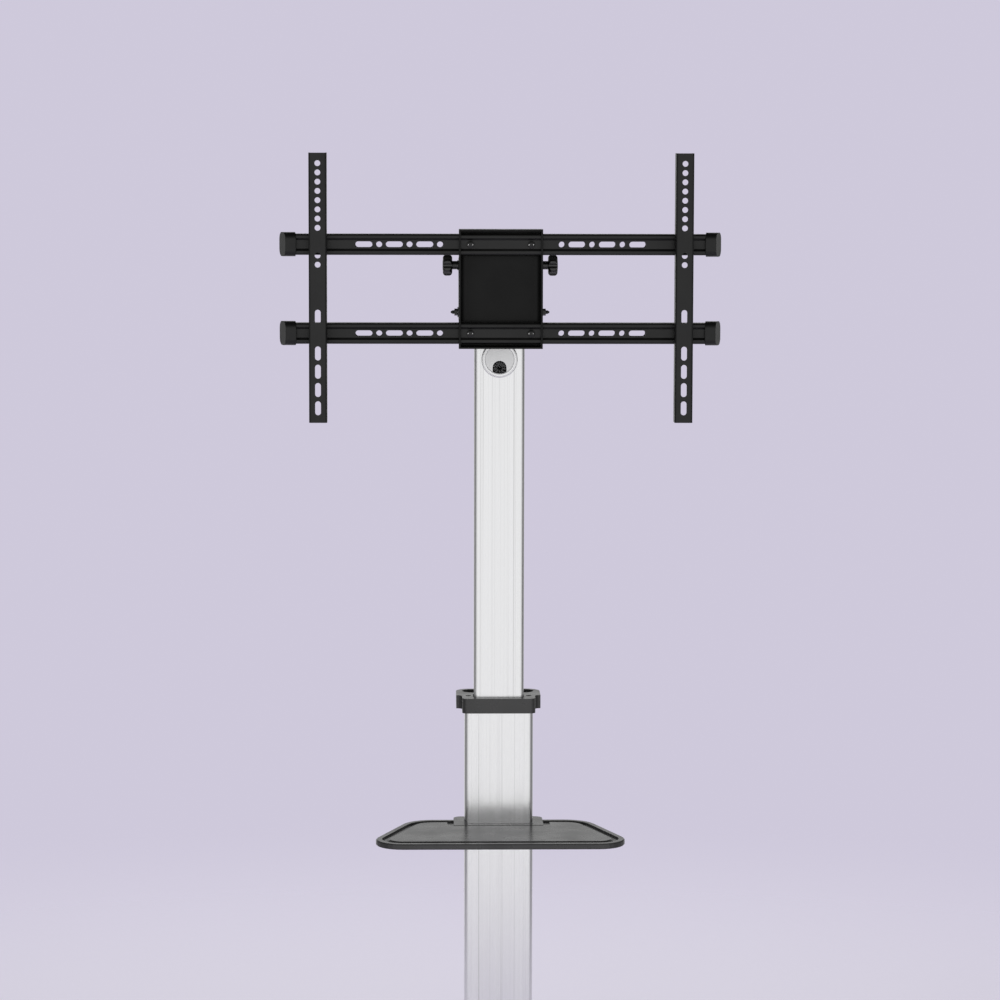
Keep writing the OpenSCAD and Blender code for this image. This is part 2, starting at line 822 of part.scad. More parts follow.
module caster_tyre(i) {
    tread = wheel_r - hub_r;
    color([0.1, 0.1, 0.1]) on_axle(i) rotate_extrude() intersection() {
        translate([hub_r, 0]) rounded_rect(2 * tread, tyre_w, tyre_round);
        translate([hub_r, -tyre_w]) square([tread, 2 * tyre_w]);
    }
}

// Foot pedal that presses its shoe on the tyre
module brake_pedal(i) {
    pad_z = pedal_pin_z - 1;
    color([0.6, 0.1, 0.08]) at_caster(i) difference() {
        union() {
            translate([0, pedal_pin_y, pedal_pin_z]) rotate([0, 90, 0])
                cylinder(r = pedal_eye_r, h = 2 * (fork_in - hub_gap), center = true);
            translate([0, pedal_pin_y + 10, 0]) along_z(pad_z, pad_z + pedal_t)
                translate([-(fork_in - hub_gap), -10]) square([2 * (fork_in - hub_gap), 14]);
            translate([0, pedal_pin_y + pedal_reach / 2 + 6, 0]) along_z(pad_z, pad_z + pedal_t)
                rounded_rect(pedal_w, pedal_reach - 12, 6);
            translate([0, pedal_pin_y + 14, pad_z - shoe_clear / 2])
                cube([tyre_w - 4, 8, shoe_clear], center = true);
        }
        translate([0, pedal_pin_y, pedal_pin_z]) rotate([0, 90, 0])
            cylinder(r = pedal_pin_r + fit, h = 3 * tyre_w, center = true);
    }
}

// Outline of the shelf, drawn in by a margin
module shelf_outline(margin) {
    front_r = shelf_front_r - margin;
    back_r = shelf_back_r - margin;
    hull() for (side = [-1, 1]) {
        translate([side * (shelf_front_w / 2 - shelf_front_r), shelf_front + shelf_front_r])
            circle(front_r, $fn = hull_fn);
        translate([side * (shelf_back_w / 2 - shelf_back_r), shelf_back - shelf_back_r])
            circle(back_r, $fn = hull_fn);
    }
}

// The shelf's panel with its sloping edge, which leaves a moat around the boss
module shelf_panel() {
    margin = shelf_rim + shelf_groove_w;
    grow = shelf_groove_slope * over / shelf_groove;
    low_margin = margin - grow;
    high_margin = margin + shelf_groove_slope + grow;
    moat_w = shelf_boss_w + 2 * shelf_boss_gap;
    moat_front = outer_front - shelf_boss_reach - shelf_boss_moat;
    low = shelf_z - shelf_groove - over;
    high = shelf_z + over;
    difference() {
        hull() for (side = [-1, 1]) {
            translate([side * (shelf_front_w / 2 - shelf_front_r), shelf_front + shelf_front_r, low])
                cylinder(r1 = shelf_front_r - low_margin, r2 = shelf_front_r - high_margin,
                    h = high - low, $fn = hull_fn);
            translate([side * (shelf_back_w / 2 - shelf_back_r), shelf_back - shelf_back_r, low])
                cylinder(r1 = shelf_back_r - low_margin, r2 = shelf_back_r - high_margin,
                    h = high - low, $fn = hull_fn);
        }
        translate([0, moat_front, 0]) along_z(low - over, high + over)
            round_front(moat_w, outer_d + shelf_reach, shelf_panel_r);
    }
}

// Shelf with its rim, a groove around its panel, the socket around the column and ribs below
module shelf() {
    groove_z = shelf_z - shelf_groove;
    socket_front = outer_front - shelf_boss_reach;
    rib_pitch = shelf_back_w / shelf_rib_count;
    rib_middle = (shelf_rib_count + 1) / 2;
    color([0.22, 0.22, 0.23]) difference() {
        union() {
            difference() {
                union() {
                    along_z(shelf_bottom + shelf_edge, shelf_z - shelf_edge) shelf_outline(0);
                    along_z(shelf_bottom, shelf_z) shelf_outline(shelf_edge);
                }
                difference() {
                    along_z(groove_z, shelf_z + over) shelf_outline(shelf_rim);
                    shelf_panel();
                }
                difference() {
                    along_z(shelf_bottom - over, groove_z - shelf_floor_t) shelf_outline(shelf_rim);
                    for (i = [1:shelf_rib_count])
                        translate([(i - rib_middle) * rib_pitch - rib_t / 2, shelf_front, shelf_bottom])
                            cube([rib_t, shelf_reach + outer_d, shelf_t]);
                    translate([-shelf_front_w / 2, (shelf_front + outer_front) / 2, shelf_bottom])
                        cube([shelf_front_w, rib_t, shelf_t]);
                }
            }
            along_z(shelf_z - shelf_socket_h, shelf_z)
                translate([0, (socket_front + shelf_back) / 2])
                    square([shelf_boss_w, shelf_back - socket_front], center = true);
        }
        translate([0, column_y, 0]) along_z(shelf_z - shelf_socket_h - over, shelf_z + over) {
            rounded_rect(outer_w + 2 * shelf_gap, outer_d + 2 * shelf_gap, outer_r + shelf_gap);
            translate([-outer_w / 2 - shelf_gap, 0]) square([outer_w + 2 * shelf_gap, outer_d]);
        }
        for (side = [-1, 1]) translate([side * clamp_screw_x, shelf_back - clamp_screw_grip, clamp_z])
            rotate([-90, 0, 0]) cylinder(r = clamp_screw_r, h = clamp_screw_grip + over);
    }
}

// Clamp that closes the shelf's socket behind the column
module shelf_clamp() {
    depth = clamp_back - shelf_back;
    color([0.16, 0.16, 0.17]) difference() {
        translate([0, clamp_back, 0]) mirror([0, 1, 0]) along_z(shelf_z - shelf_socket_h, shelf_z)
            round_front(clamp_w, depth, clamp_r);
        translate([0, column_y, 0]) along_z(shelf_z - shelf_socket_h - over, shelf_z + over) {
            rounded_rect(outer_w + 2 * shelf_gap, outer_d + 2 * clamp_gap, outer_r + shelf_gap);
            translate([-outer_w / 2 - shelf_gap, 0])
                square([outer_w + 2 * shelf_gap, outer_d / 2 - outer_r]);
        }
        for (side = [-1, 1]) translate([side * clamp_screw_x, 0, clamp_z]) rotate([-90, 0, 0]) {
            cylinder(r = clamp_screw_r + loose, h = clamp_back + over);
            translate([0, 0, shelf_back + clamp_screw_sink])
                cylinder(r = clamp_screw_head_r + loose, h = clamp_back);
        }
        translate([0, outer_back, clamp_z]) rotate([-90, 0, 0])
            cylinder(r = stud_r + fit, h = clamp_wall + 2 * over);
    }
}

module shelf_clamp_screws() {
    color([0.12, 0.12, 0.12]) for (side = [-1, 1])
        translate([side * clamp_screw_x, shelf_back + clamp_screw_sink, clamp_z]) rotate([-90, 0, 0])
            button_screw(clamp_screw_r, clamp_screw_sink + clamp_screw_grip - 2, clamp_screw_head_r, 3, 3);
}

module shelf_knob() {
    color([0.05, 0.05, 0.05]) translate([0, shelf_knob_seat, clamp_z]) rotate([-90, 0, 0])
        star_knob(clamp_knob_dia, knob_neck);
}

module shelf_stud() {
    tip = outer_back + loose;
    color([0.7, 0.7, 0.72]) translate([0, tip, clamp_z]) rotate([-90, 0, 0])
        cylinder(r = stud_r, h = shelf_knob_seat + knob_neck + stud_hold - tip);
}

module inner_column() {
    color([0.84, 0.84, 0.85]) difference() {
        translate([0, column_y, 0]) along_z(inner_bottom, inner_top) difference() {
            rounded_rect(inner_w, inner_d, inner_r);
            rounded_rect(inner_w - 2 * column_wall, inner_d - 2 * column_wall, inner_r - column_wall);
        }
        translate([0, column_front - over, outlet_z]) rotate([-90, 0, 0])
            cylinder(r = outlet_barrel_r, h = column_wall + 2 * over);
        for (x = [-1, 1], z = bracket_screw_zs) translate([x * bracket_screw_x, column_front - over, z])
            rotate([-90, 0, 0]) cylinder(r = bracket_screw_r + loose, h = column_wall + 2 * over);
    }
}

module column_cap() {
    cap_top = 4;
    plug = 18;
    color([0.08, 0.08, 0.08]) translate([0, column_y, 0]) {
        along_z(inner_top, inner_top + cap_top) rounded_rect(inner_w, inner_d, inner_r);
        along_z(inner_top - plug, inner_top) difference() {
            rounded_rect(inner_w - 2 * column_wall, inner_d - 2 * column_wall, inner_r - column_wall);
            rounded_rect(inner_w - 4 * column_wall, inner_d - 4 * column_wall, 1);
        }
    }
}

// Fixed ring of the cable outlet, with the barrel that goes into the column
module outlet_ring() {
    lip_h = outlet_out - disc_t + 1;
    color([0.75, 0.76, 0.77]) translate([0, column_front, outlet_z]) rotate([90, 0, 0]) difference() {
        union() {
            cylinder(d1 = outlet_dia, d2 = outlet_dia - 3, h = outlet_out);
            translate([0, 0, -outlet_depth]) cylinder(r = outlet_barrel_r, h = outlet_depth);
        }
        translate([0, 0, -outlet_depth - over]) cylinder(r = disc_dia / 2 - 1.5, h = 2 * outlet_depth);
        translate([0, 0, outlet_out - disc_t - lip_h / 2]) cylinder(r = disc_dia / 2 + fit, h = outlet_depth);
    }
}

// Outline of the cable hole: a round top, straight sides and the disc's own curve below
module cable_hole_outline() {
    hole_r = cable_hole_w / 2;
    intersection() {
        circle(disc_dia / 2 - 1.2);
        union() {
            translate([0, -cable_hole_top - hole_r]) circle(hole_r);
            translate([-hole_r, -disc_dia]) square([cable_hole_w, disc_dia - cable_hole_top - hole_r]);
        }
    }
}

module outlet_disc() {
    seat = outlet_out - disc_t - (outlet_out - disc_t + 1) / 2;
    color([0.78, 0.79, 0.8]) translate([0, column_front, outlet_z]) rotate([90, 0, 0])
        translate([0, 0, seat]) linear_extrude(disc_t) difference() {
            circle(disc_dia / 2);
            cable_hole_outline();
        }
}

// Rubber petals that close the cable hole
module outlet_petals() {
    seat = outlet_out - disc_t - (outlet_out - disc_t + 1) / 2;
    middle = -cable_hole_top - cable_hole_w / 2;
    color([0.05, 0.05, 0.05]) translate([0, column_front, outlet_z]) rotate([90, 0, 0])
        translate([0, 0, seat]) linear_extrude(petal_t) difference() {
            cable_hole_outline();
            for (i = [0:petals - 1]) translate([0, middle]) rotate(i * 360 / petals)
                translate([0, -petal_slit / 2]) square([cable_hole_w / 2 - 1.5, petal_slit]);
        }
}

// Side outline of one cheek of the column bracket
module bracket_cheek() {
    translate([tilt_y, tilt_z - cheek_r]) square([column_front - tilt_y, knob_rise + 2 * cheek_r]);
    translate([tilt_y - cheek_r, tilt_z]) square([2 * cheek_r, knob_rise]);
    for (z = [tilt_z, tilt_z + knob_rise]) translate([tilt_y, z]) circle(cheek_r);
}

// Bracket on the column's front, with the welded nuts of the tilt knobs
module column_bracket() {
    color([0.07, 0.07, 0.07]) difference() {
        union() {
            translate([-bracket_w / 2, column_front - sheet, tilt_z - cheek_r])
                cube([bracket_w, sheet, knob_rise + 2 * cheek_r]);
            for (side = [-1, 1]) {
                translate([side * (bracket_w / 2 - sheet / 2), 0, 0])
                    along_x(-sheet / 2, sheet / 2) bracket_cheek();
                translate([side * (bracket_w / 2 - sheet - weld_nut_t / 2), tilt_y, tilt_z + knob_rise])
                    rotate([0, 90, 0])
                        cylinder(r = weld_nut_af / sqrt(3), h = weld_nut_t + 0.2, center = true, $fn = 6);
            }
        }
        for (side = [-1, 1]) translate([side * bracket_w / 2, tilt_y, 0]) rotate([0, 90, 0]) {
            translate([-tilt_z, 0, 0]) cylinder(r = pivot_r + fit, h = 4 * sheet, center = true);
            translate([-tilt_z - knob_rise, 0, 0])
                cylinder(r = stud_r + fit, h = 2 * (weld_nut_t + 2 * sheet), center = true);
        }
        for (x = [-1, 1], z = bracket_screw_zs)
            translate([x * bracket_screw_x, column_front - sheet - over, z]) rotate([-90, 0, 0])
                cylinder(r = bracket_screw_r + loose, h = sheet + 2 * over);
    }
}

module bracket_screws() {
    color([0.15, 0.15, 0.15]) for (x = [-1, 1], z = bracket_screw_zs)
        translate([x * bracket_screw_x, column_front - sheet, z]) rotate([90, 0, 0])
            button_screw(bracket_screw_r, sheet + column_wall + 5, 5.5, 3.2, 4);
}

module bracket_nut_plate() {
    plate_t = 5;
    plate_h = bracket_screw_zs[1] - bracket_screw_zs[0] + 20;
    color([0.6, 0.6, 0.62]) difference() {
        translate([0, column_front + column_wall + plate_t / 2, (bracket_screw_zs[0] + bracket_screw_zs[1]) / 2])
            cube([inner_w - 2 * inner_r, plate_t, plate_h], center = true);
        for (x = [-1, 1], z = bracket_screw_zs)
            translate([x * bracket_screw_x, column_front, z]) rotate([-90, 0, 0])
                cylinder(r = bracket_screw_r, h = column_wall + plate_t + over);
    }
}

// Pivot bolts with nuts and washers, and the washers under the tilt knobs
module pivot_bolts() {
    half = tray_w / 2;
    head_t = 4;
    color([0.55, 0.55, 0.57]) for (side = pivot_sides)
        translate([0, tilt_y, tilt_z]) rotate([0, side * 90, 0]) {
            translate([0, 0, bracket_w / 2 - sheet - head_t]) linear_extrude(head_t) hexagon(pivot_nut_af);
            translate([0, 0, bracket_w / 2 - sheet])
                cylinder(r = pivot_r, h = half + washer_t + pivot_nut_t + pivot_tip - bracket_w / 2 + sheet);
            translate([0, 0, half + washer_t + pivot_nut_t + pivot_tip])
                cylinder(r1 = pivot_r, r2 = pivot_point_r, h = pivot_point);
            translate([0, 0, half]) difference() {
                cylinder(r = washer_r, h = washer_t);
                translate([0, 0, -over]) cylinder(r = pivot_r, h = washer_t + 2 * over);
            }
            translate([0, 0, half + washer_t]) linear_extrude(pivot_nut_t) difference() {
                hexagon(pivot_nut_af);
                circle(pivot_r);
            }
        }
    color([0.12, 0.12, 0.12]) for (side = pivot_sides)
        translate([side * half, tilt_y, tilt_z + knob_rise]) rotate([0, side * 90, 0]) difference() {
            cylinder(r = knob_washer_r, h = knob_washer_t);
            translate([0, 0, -over]) cylinder(r = stud_r + loose, h = knob_washer_t + 2 * over);
        }
}

// Plastic washers between the bracket's cheeks and the yoke's
module friction_washers() {
    color([0.9, 0.9, 0.88]) for (side = pivot_sides)
        translate([side * bracket_w / 2, tilt_y, tilt_z]) rotate([0, side * 90, 0]) difference() {
            cylinder(r = friction_r, h = friction_t);
            translate([0, 0, -over]) cylinder(r = pivot_r + loose, h = friction_t + 2 * over);
        }
}

module tilt_knob(side) {
    color([0.04, 0.04, 0.04]) translate([side * (tray_w / 2 + knob_washer_t), tilt_y, tilt_z + knob_rise])
        rotate([0, side * 90, 0]) star_knob(knob_dia, knob_neck);
}

module tilt_stud(side) {
    inner_end = bracket_w / 2 - sheet - weld_nut_t - 2;
    color([0.7, 0.7, 0.72]) translate([side * inner_end, tilt_y, tilt_z + knob_rise])
        rotate([0, side * 90, 0])
            cylinder(r = stud_r, h = tray_w / 2 + knob_washer_t + knob_neck + stud_hold - inner_end);
}

// Half section of the tray in plan, its web at y = 0 and its flanges forward
module pan_outline(w, d, r) {
    mirror([0, 1]) round_front(w, d, r);
}

// Folded tray with windows for the rails and a raised panel that bends into its side flanges
module tilt_tray() {
    depth = sheet + tray_flange;
    color([0.09, 0.09, 0.09]) difference() {
        union() {
            difference() {
                intersection() {
                    translate([0, tray_back, 0]) along_z(head_z - tray_h / 2, head_z + tray_h / 2)
                        pan_outline(tray_w, depth, tray_bend);
                    translate([0, tray_back, head_z]) along_x(-tray_w / 2, tray_w / 2)
                        rotate(90) round_front(tray_h, depth, tray_bend);
                }
                intersection() {
                    translate([0, rail_back, 0]) along_z(head_z - tray_h, head_z + tray_h)
                        pan_outline(tray_w - 2 * sheet, depth, tray_bend - sheet);
                    translate([0, rail_back, head_z]) along_x(-tray_w, tray_w)
                        rotate(90) round_front(tray_h - 2 * sheet, depth, tray_bend - sheet);
                }
            }
            translate([0, tray_back, 0]) along_z(head_z - panel_h / 2, head_z + panel_h / 2) difference() {
                pan_outline(tray_w, sheet + panel_out + panel_bend, tray_bend);
                translate([0, -sheet - panel_out])
                    pan_outline(tray_w - 2 * sheet, 2 * panel_bend, panel_bend);
            }
        }
        translate([0, 0, head_z]) along_y(rail_back - panel_out + sheet, tray_back + over)
            rounded_rect(tray_w - 2 * (sheet + panel_bend), panel_h - 2 * sheet, panel_corner);
        for (z = rail_zs) {
            translate([0, (rail_front - window_gap + rail_back) / 2, z])
                cube([2 * tray_w, rail_back - rail_front + window_gap, rail_h + 2 * window_gap], center = true);
            for (side = [-1, 1]) translate([side * rail_screw_x, rail_back - over, z]) rotate([-90, 0, 0])
                cylinder(r = rail_screw_r + loose, h = sheet + 2 * over);
        }
        for (x = [-1, 1], z = [-1, 1])
            translate([x * (cheek_in - seam / 2), tray_front + tray_flange / 2 - over,
                head_z + z * (tray_h / 2 - sheet / 2)])
                cube([seam, tray_flange - 2 * tray_bend, sheet + 2 * over], center = true);
    }
}

// Side outline of one cheek of the yoke, seen along X
module yoke_cheek() {
    rear_y = tilt_y + knob_rise * sin(tilt_forward) + slot_r + yoke_rear_edge;
    top_z = tilt_z + knob_rise + slot_r + yoke_rear_edge;
    low_z = tilt_z + knob_rise * cos(tilt_forward) - slot_r - yoke_rear_edge - 4;
    corner = 6;
    polygon([
        [tray_back, tilt_z - yoke_edge], [tilt_y, tilt_z - yoke_edge], [tilt_y + yoke_edge, tilt_z],
        [rear_y, low_z], [rear_y, top_z - corner], [rear_y - corner, top_z], [tray_back, top_z]
    ]);
    translate([tilt_y, tilt_z]) circle(yoke_edge);
    translate([rear_y - corner, top_z - corner]) circle(corner);
}

// Arc slot in a cheek of the yoke, in which the stud of a tilt knob stays while the yoke tilts
module tilt_slot() {
    reach = 2 * knob_rise;
    translate([tilt_y, tilt_z]) {
        intersection() {
            difference() {
                circle(knob_rise + slot_r, $fn = 128);
                circle(knob_rise - slot_r, $fn = 128);
            }
            polygon([[0, 0], [-reach * sin(tilt_back), reach * cos(tilt_back)],
                [reach * sin(tilt_forward), reach * cos(tilt_forward)]]);
        }
        for (a = [-tilt_back, tilt_forward])
            translate([knob_rise * sin(a), knob_rise * cos(a)]) circle(slot_r);
    }
}

module tilt_yoke() {
    web_low = rail_zs[0] - 14;
    web_high = rail_zs[1] + 14;
    color([0.07, 0.07, 0.07]) difference() {
        union() {
            translate([-tray_w / 2, tray_back, web_low]) cube([tray_w, sheet, web_high - web_low]);
            for (side = [-1, 1]) translate([side * (tray_w / 2 - sheet / 2), 0, 0])
                along_x(-sheet / 2, sheet / 2) yoke_cheek();
        }
        along_x(-tray_w, tray_w) tilt_slot();
        translate([0, tilt_y, tilt_z]) rotate([0, 90, 0])
            cylinder(r = pivot_r + fit, h = 2 * tray_w, center = true);
        for (x = [-1, 1], z = rail_zs) translate([x * rail_screw_x, tray_back - over, z]) rotate([-90, 0, 0])
            cylinder(r = rail_screw_r + loose, h = sheet + 2 * over);
    }
}

// End view of a rail, with the channel in its front
module rail_profile() {
    translate([(rail_front + rail_back) / 2, 0]) difference() {
        rounded_rect(rail_d, rail_h, rail_r);
        translate([-rail_d / 2, 0]) polygon([
            [-over, -recess_h / 2], [0, -recess_h / 2], [recess_d, recess_slope - recess_h / 2],
            [recess_d, recess_h / 2 - recess_slope], [0, recess_h / 2], [-over, recess_h / 2]
        ]);
        translate([recess_d / 2, 0])
            rounded_rect(rail_d - recess_d - 2 * rail_wall, rail_h - 2 * rail_wall, 1.5);
    }
}

// One rail at height z
module rail(z) {
    color([0.12, 0.12, 0.125]) translate([0, 0, z]) difference() {
        along_x(-rail_len / 2, rail_len / 2) rail_profile();
        for (side = [-1, 1]) {
            along_y(rail_front - over, rail_back + over) for (i = [0:2]) {
                translate([side * (rail_first_hole + i * rail_hole_pitch), 0]) circle(d = rail_hole);
                translate([side * (rail_first_hole + (i + 0.5) * rail_hole_pitch), 0])
                    slot_2d(rail_slot, rail_hole);
            }
            translate([side * arm_pitch / 2, rail_front - over, 0]) rotate([-90, 0, 0])
                cylinder(r = arm_bolt_r + loose, h = rail_d + 2 * over);
            translate([side * rail_screw_x, rail_front - over, 0]) rotate([-90, 0, 0])
                cylinder(r = rail_screw_r + loose, h = rail_d + 2 * over);
        }
    }
}

// Plastic caps on the rail ends, each cut on a slant outside
module rail_caps() {
    middle_y = (rail_front + rail_back) / 2;
    color([0.1, 0.1, 0.1]) for (z = rail_zs, side = [0, 1]) translate([0, 0, z]) mirror([side, 0, 0])
        difference() {
            translate([0, middle_y, 0]) along_x(rail_span / 2 - cap_len - cap_d / 2, rail_span / 2)
                rounded_rect(cap_d, cap_h, cap_r);
            translate([rail_span / 2 - cap_d / 2 * tan(cap_slant), middle_y, 0]) rotate([0, 0, -cap_slant])
                translate([0, -2 * cap_d, -cap_h]) cube([cap_d, 4 * cap_d, 2 * cap_h]);
            translate([rail_span / 2 - cap_len - cap_d / 2 * tan(cap_inner_slant), middle_y, 0])
                rotate([0, 0, -cap_inner_slant])
                    translate([-2 * cap_d, -2 * cap_d, -cap_h]) cube([2 * cap_d, 4 * cap_d, 2 * cap_h]);
            along_x(0, rail_len / 2) translate([middle_y, 0])
                rounded_rect(rail_d, rail_h, rail_r);
        }
}

// One arm: a folded channel with its holes and slots
module arm(x) {
    color([0.15, 0.15, 0.155]) translate([x, 0, 0]) difference() {
        translate([0, arm_front, 0]) along_z(arm_top - arm_len, arm_top) difference() {
            round_front(arm_w, arm_d, arm_bend);
            translate([0, arm_sheet]) round_front(arm_w - 2 * arm_sheet, arm_d, arm_bend - arm_sheet);
        }
        along_y(arm_front - over, arm_front + arm_sheet + over) {
            for (i = concat(upper_holes, middle_holes))
                translate([0, pattern_z - i * arm_hole_pitch]) circle(d = arm_hole);
            for (s = slot_offsets)
                translate([0, pattern_z - pattern_h + s]) rotate(90) slot_2d(arm_slot, arm_hole);
        }
    }
}

// Blocks welded into the arms, which the arm bolts screw into
module arm_nut_blocks() {
    block_front = arm_front + arm_sheet;
    color([0.3, 0.3, 0.31]) for (x = arm_xs, z = rail_zs) translate([x, 0, z]) difference() {
        translate([-nut_block_w / 2, block_front, -nut_block_h / 2])
            cube([nut_block_w, recess_y - block_front, nut_block_h]);
        translate([0, block_front + nut_block_front, 0]) rotate([-90, 0, 0])
            cylinder(r = arm_bolt_r, h = arm_d);
    }
}

// Bolts that hold the arms, put in from behind the rails
module arm_bolts() {
    bolt_len = rail_back - arm_front - arm_sheet - nut_block_front - 2;
    color([0.12, 0.12, 0.12]) for (x = arm_xs, z = rail_zs) translate([x, rail_back, z]) rotate([-90, 0, 0])
        difference() {
            union() {
                translate([0, 0, -bolt_len]) cylinder(r = arm_bolt_r, h = bolt_len);
                cylinder(r = arm_bolt_head_r, h = arm_bolt_head_t);
            }
            translate([0, 0, arm_bolt_head_t / 2]) linear_extrude(arm_bolt_head_t) hexagon(socket_af + 1);
        }
}

// Button screws that hold the rails to tray and yoke, and their nuts
module rail_fasteners() {
    stack = yoke_back - recess_y;
    color([0.1, 0.1, 0.1]) for (x = [-1, 1], z = rail_zs) translate([x * rail_screw_x, 0, z]) {
        translate([0, recess_y, 0]) rotate([90, 0, 0])
            button_screw(rail_screw_r, stack + rail_nut_t + 1.5, rail_screw_head_r, rail_screw_head_t, socket_af);
        along_y(yoke_back, yoke_back + rail_nut_t) difference() {
            hexagon(rail_nut_af);
            circle(rail_screw_r);
        }
    }
}

outer_column();
guide_bush();
collar();
collar_screws();
lock_insert();
cable_exit_grommet();
cross_beam();
base_legs();
leg_caps();
foot_plate();
foot_screws();
caster_stems();
caster_fork(1);  // caster_fork_1
caster_fork(2);  // caster_fork_2
caster_fork(3);  // caster_fork_3
caster_fork(4);  // caster_fork_4
caster_hub(1);  // caster_hub_1
caster_hub(2);  // caster_hub_2
caster_hub(3);  // caster_hub_3
caster_hub(4);  // caster_hub_4
caster_tyre(1);  // caster_tyre_1
caster_tyre(2);  // caster_tyre_2
caster_tyre(3);  // caster_tyre_3
caster_tyre(4);  // caster_tyre_4
brake_pedal(1);  // brake_pedal_1
brake_pedal(2);  // brake_pedal_2
brake_pedal(3);  // brake_pedal_3
brake_pedal(4);  // brake_pedal_4
lock_knob();
lock_stud();
shelf();
shelf_clamp();
shelf_clamp_screws();
shelf_knob();
shelf_stud();
inner_column();
guide_shoe();
column_cap();
outlet_ring();
outlet_disc();
outlet_petals();
column_bracket();
bracket_screws();
bracket_nut_plate();
pivot_bolts();
friction_washers();
tilt_knob(-1);  // tilt_knob_left
tilt_knob(1);  // tilt_knob_right
tilt_stud(-1);  // tilt_stud_left
tilt_stud(1);  // tilt_stud_right
tilt_tray();
tilt_yoke();
rail(rail_zs[1]);  // upper_rail
rail(rail_zs[0]);  // lower_rail
rail_caps();
arm(arm_xs[0]);  // arm_left
arm(arm_xs[1]);  // arm_right
rail_fasteners();
arm_nut_blocks();
arm_bolts();
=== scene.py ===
"""Looks of the mobile TV stand: finishes for every piece, fine modelled detail, a plain studio
and the camera."""
import json
import math

import bpy
from mathutils import Matrix, Vector


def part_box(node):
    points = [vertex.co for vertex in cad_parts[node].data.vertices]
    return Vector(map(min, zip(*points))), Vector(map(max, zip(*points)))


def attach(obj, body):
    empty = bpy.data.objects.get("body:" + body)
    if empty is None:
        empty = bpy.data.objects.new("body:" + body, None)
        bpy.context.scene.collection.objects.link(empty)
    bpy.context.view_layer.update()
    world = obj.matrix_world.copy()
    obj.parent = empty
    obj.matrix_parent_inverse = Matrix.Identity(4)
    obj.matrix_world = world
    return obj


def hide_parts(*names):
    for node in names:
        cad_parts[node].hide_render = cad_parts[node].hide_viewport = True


MM = 0.001
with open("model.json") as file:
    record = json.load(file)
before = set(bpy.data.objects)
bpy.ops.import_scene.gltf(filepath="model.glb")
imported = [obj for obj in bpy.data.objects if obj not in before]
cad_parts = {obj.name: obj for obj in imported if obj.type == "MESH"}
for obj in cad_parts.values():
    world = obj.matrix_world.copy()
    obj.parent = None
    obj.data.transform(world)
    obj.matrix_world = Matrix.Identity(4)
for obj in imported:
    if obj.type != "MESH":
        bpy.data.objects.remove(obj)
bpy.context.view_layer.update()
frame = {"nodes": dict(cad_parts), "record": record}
nodes = frame["nodes"]

# Camera: fitted to measured points of the photograph, a long lens from 6 m away
CAMERA_AT = (-0.15046, -5.95477, 1.92218)
CAMERA_YAW = 1.45
CAMERA_PITCH = 6.088
CAMERA_ROLL = 0.131
CAMERA_LENS = 129.6
CAMERA_SENSOR = 36.0
CAMERA_FAR = 200.0

# Tones of the studio, as linear values
BACKDROP = (0.62, 0.585, 0.71)
FLOOR = (0.69, 0.665, 0.75)
FLOOR_GLOW = (0.325, 0.31, 0.36)
FRONT_LIGHT = 1.0
SIDE_LIGHT = 0.20
REAR_LIGHT = 0.80
REAR_SIDE_LIGHT = 0.32
TOP_SHARE = 0.22

# Where the light of the surroundings changes, as parts of a direction of length 1
FRONT_SPAN = (0.25, 0.95)
REAR_SIDE_SPAN = (0.05, 0.6)
REAR_SPAN = (0.82, 0.98)
TOP_SPAN = (0.2, 0.75)

# Floor, in metres: half its width, and where it fades into the surroundings
FLOOR_HALF = 40.0
FLOOR_FADE = (1.4, 3.8)

# Lamps: name, place, size, power, and whether it lights the small shiny pieces alone
LAMPS = (
    ("key", (-4.6, -5.4, 3.4), (2.6, 3.0), 150.0, False),
    ("fill", (4.8, -5.2, 3.2), (2.6, 3.0), 120.0, False),
    ("back", (0.0, 5.6, 3.6), (3.6, 2.4), 110.0, False),
    ("glint_left", (-4.2, -5.2, 1.2), (1.6, 1.6), 160.0, True),
    ("glint_right", (4.2, -5.2, 1.2), (1.6, 1.6), 160.0, True),
)
LAMP_AIM = (0, 0, 1.2)
SHINY_NODES = ("rail_fasteners", "pivot_bolts", "tilt_knob_left", "tilt_knob_right")

# Noise of the moulded, painted and plated finishes: detail and roughness, after a scale where that is fixed
CLOUD_NOISE = (4.0, 0.6)
GRAIN_NOISE = (2.0, 0.6)
PATCH_NOISE = (45.0, 3.0, 0.65)
SMEAR_NOISE = (5.0, 0.62)
SMEAR_SCALE = 2.3
SPECK = 0.18
PATCH_LEAST = 0.25
EDGE_REACH = 0.16
EDGE_SAMPLES = 6
SHEEN_ROUGH = 0.4

# Parts of a noise's range that are spread over the whole range
SOFT_PART = (0.35, 0.65)
WIDE_PART = (0.3, 0.7)
PATCH_PART = (0.42, 0.68)
HAIR_PART = (0.34, 0.66)

# Brushed finish: how far the noise is drawn out upwards, its noises as above, and its lines and edges
DRAWN_OUT = (1.0, 1.0, 0.0005)
LINE_NOISE = (150.0, 2.0, 0.55)
BAND_NOISE = (60.0, 2.0, 0.5)
HAIR_NOISE = (1300.0, 2.0, 0.7)
SATIN_NOISE = (2400.0, 1.0)
LINE_HALF = 0.016
STREAK_DARKEST = 0.80
HAIR_HEIGHT = 0.7
SATIN_HEIGHT = 0.3
BRUSHED_DEPTH = 0.006 * MM
BRUSHED_EDGE = 4.0 * MM
BRUSHED_SAMPLES = 4

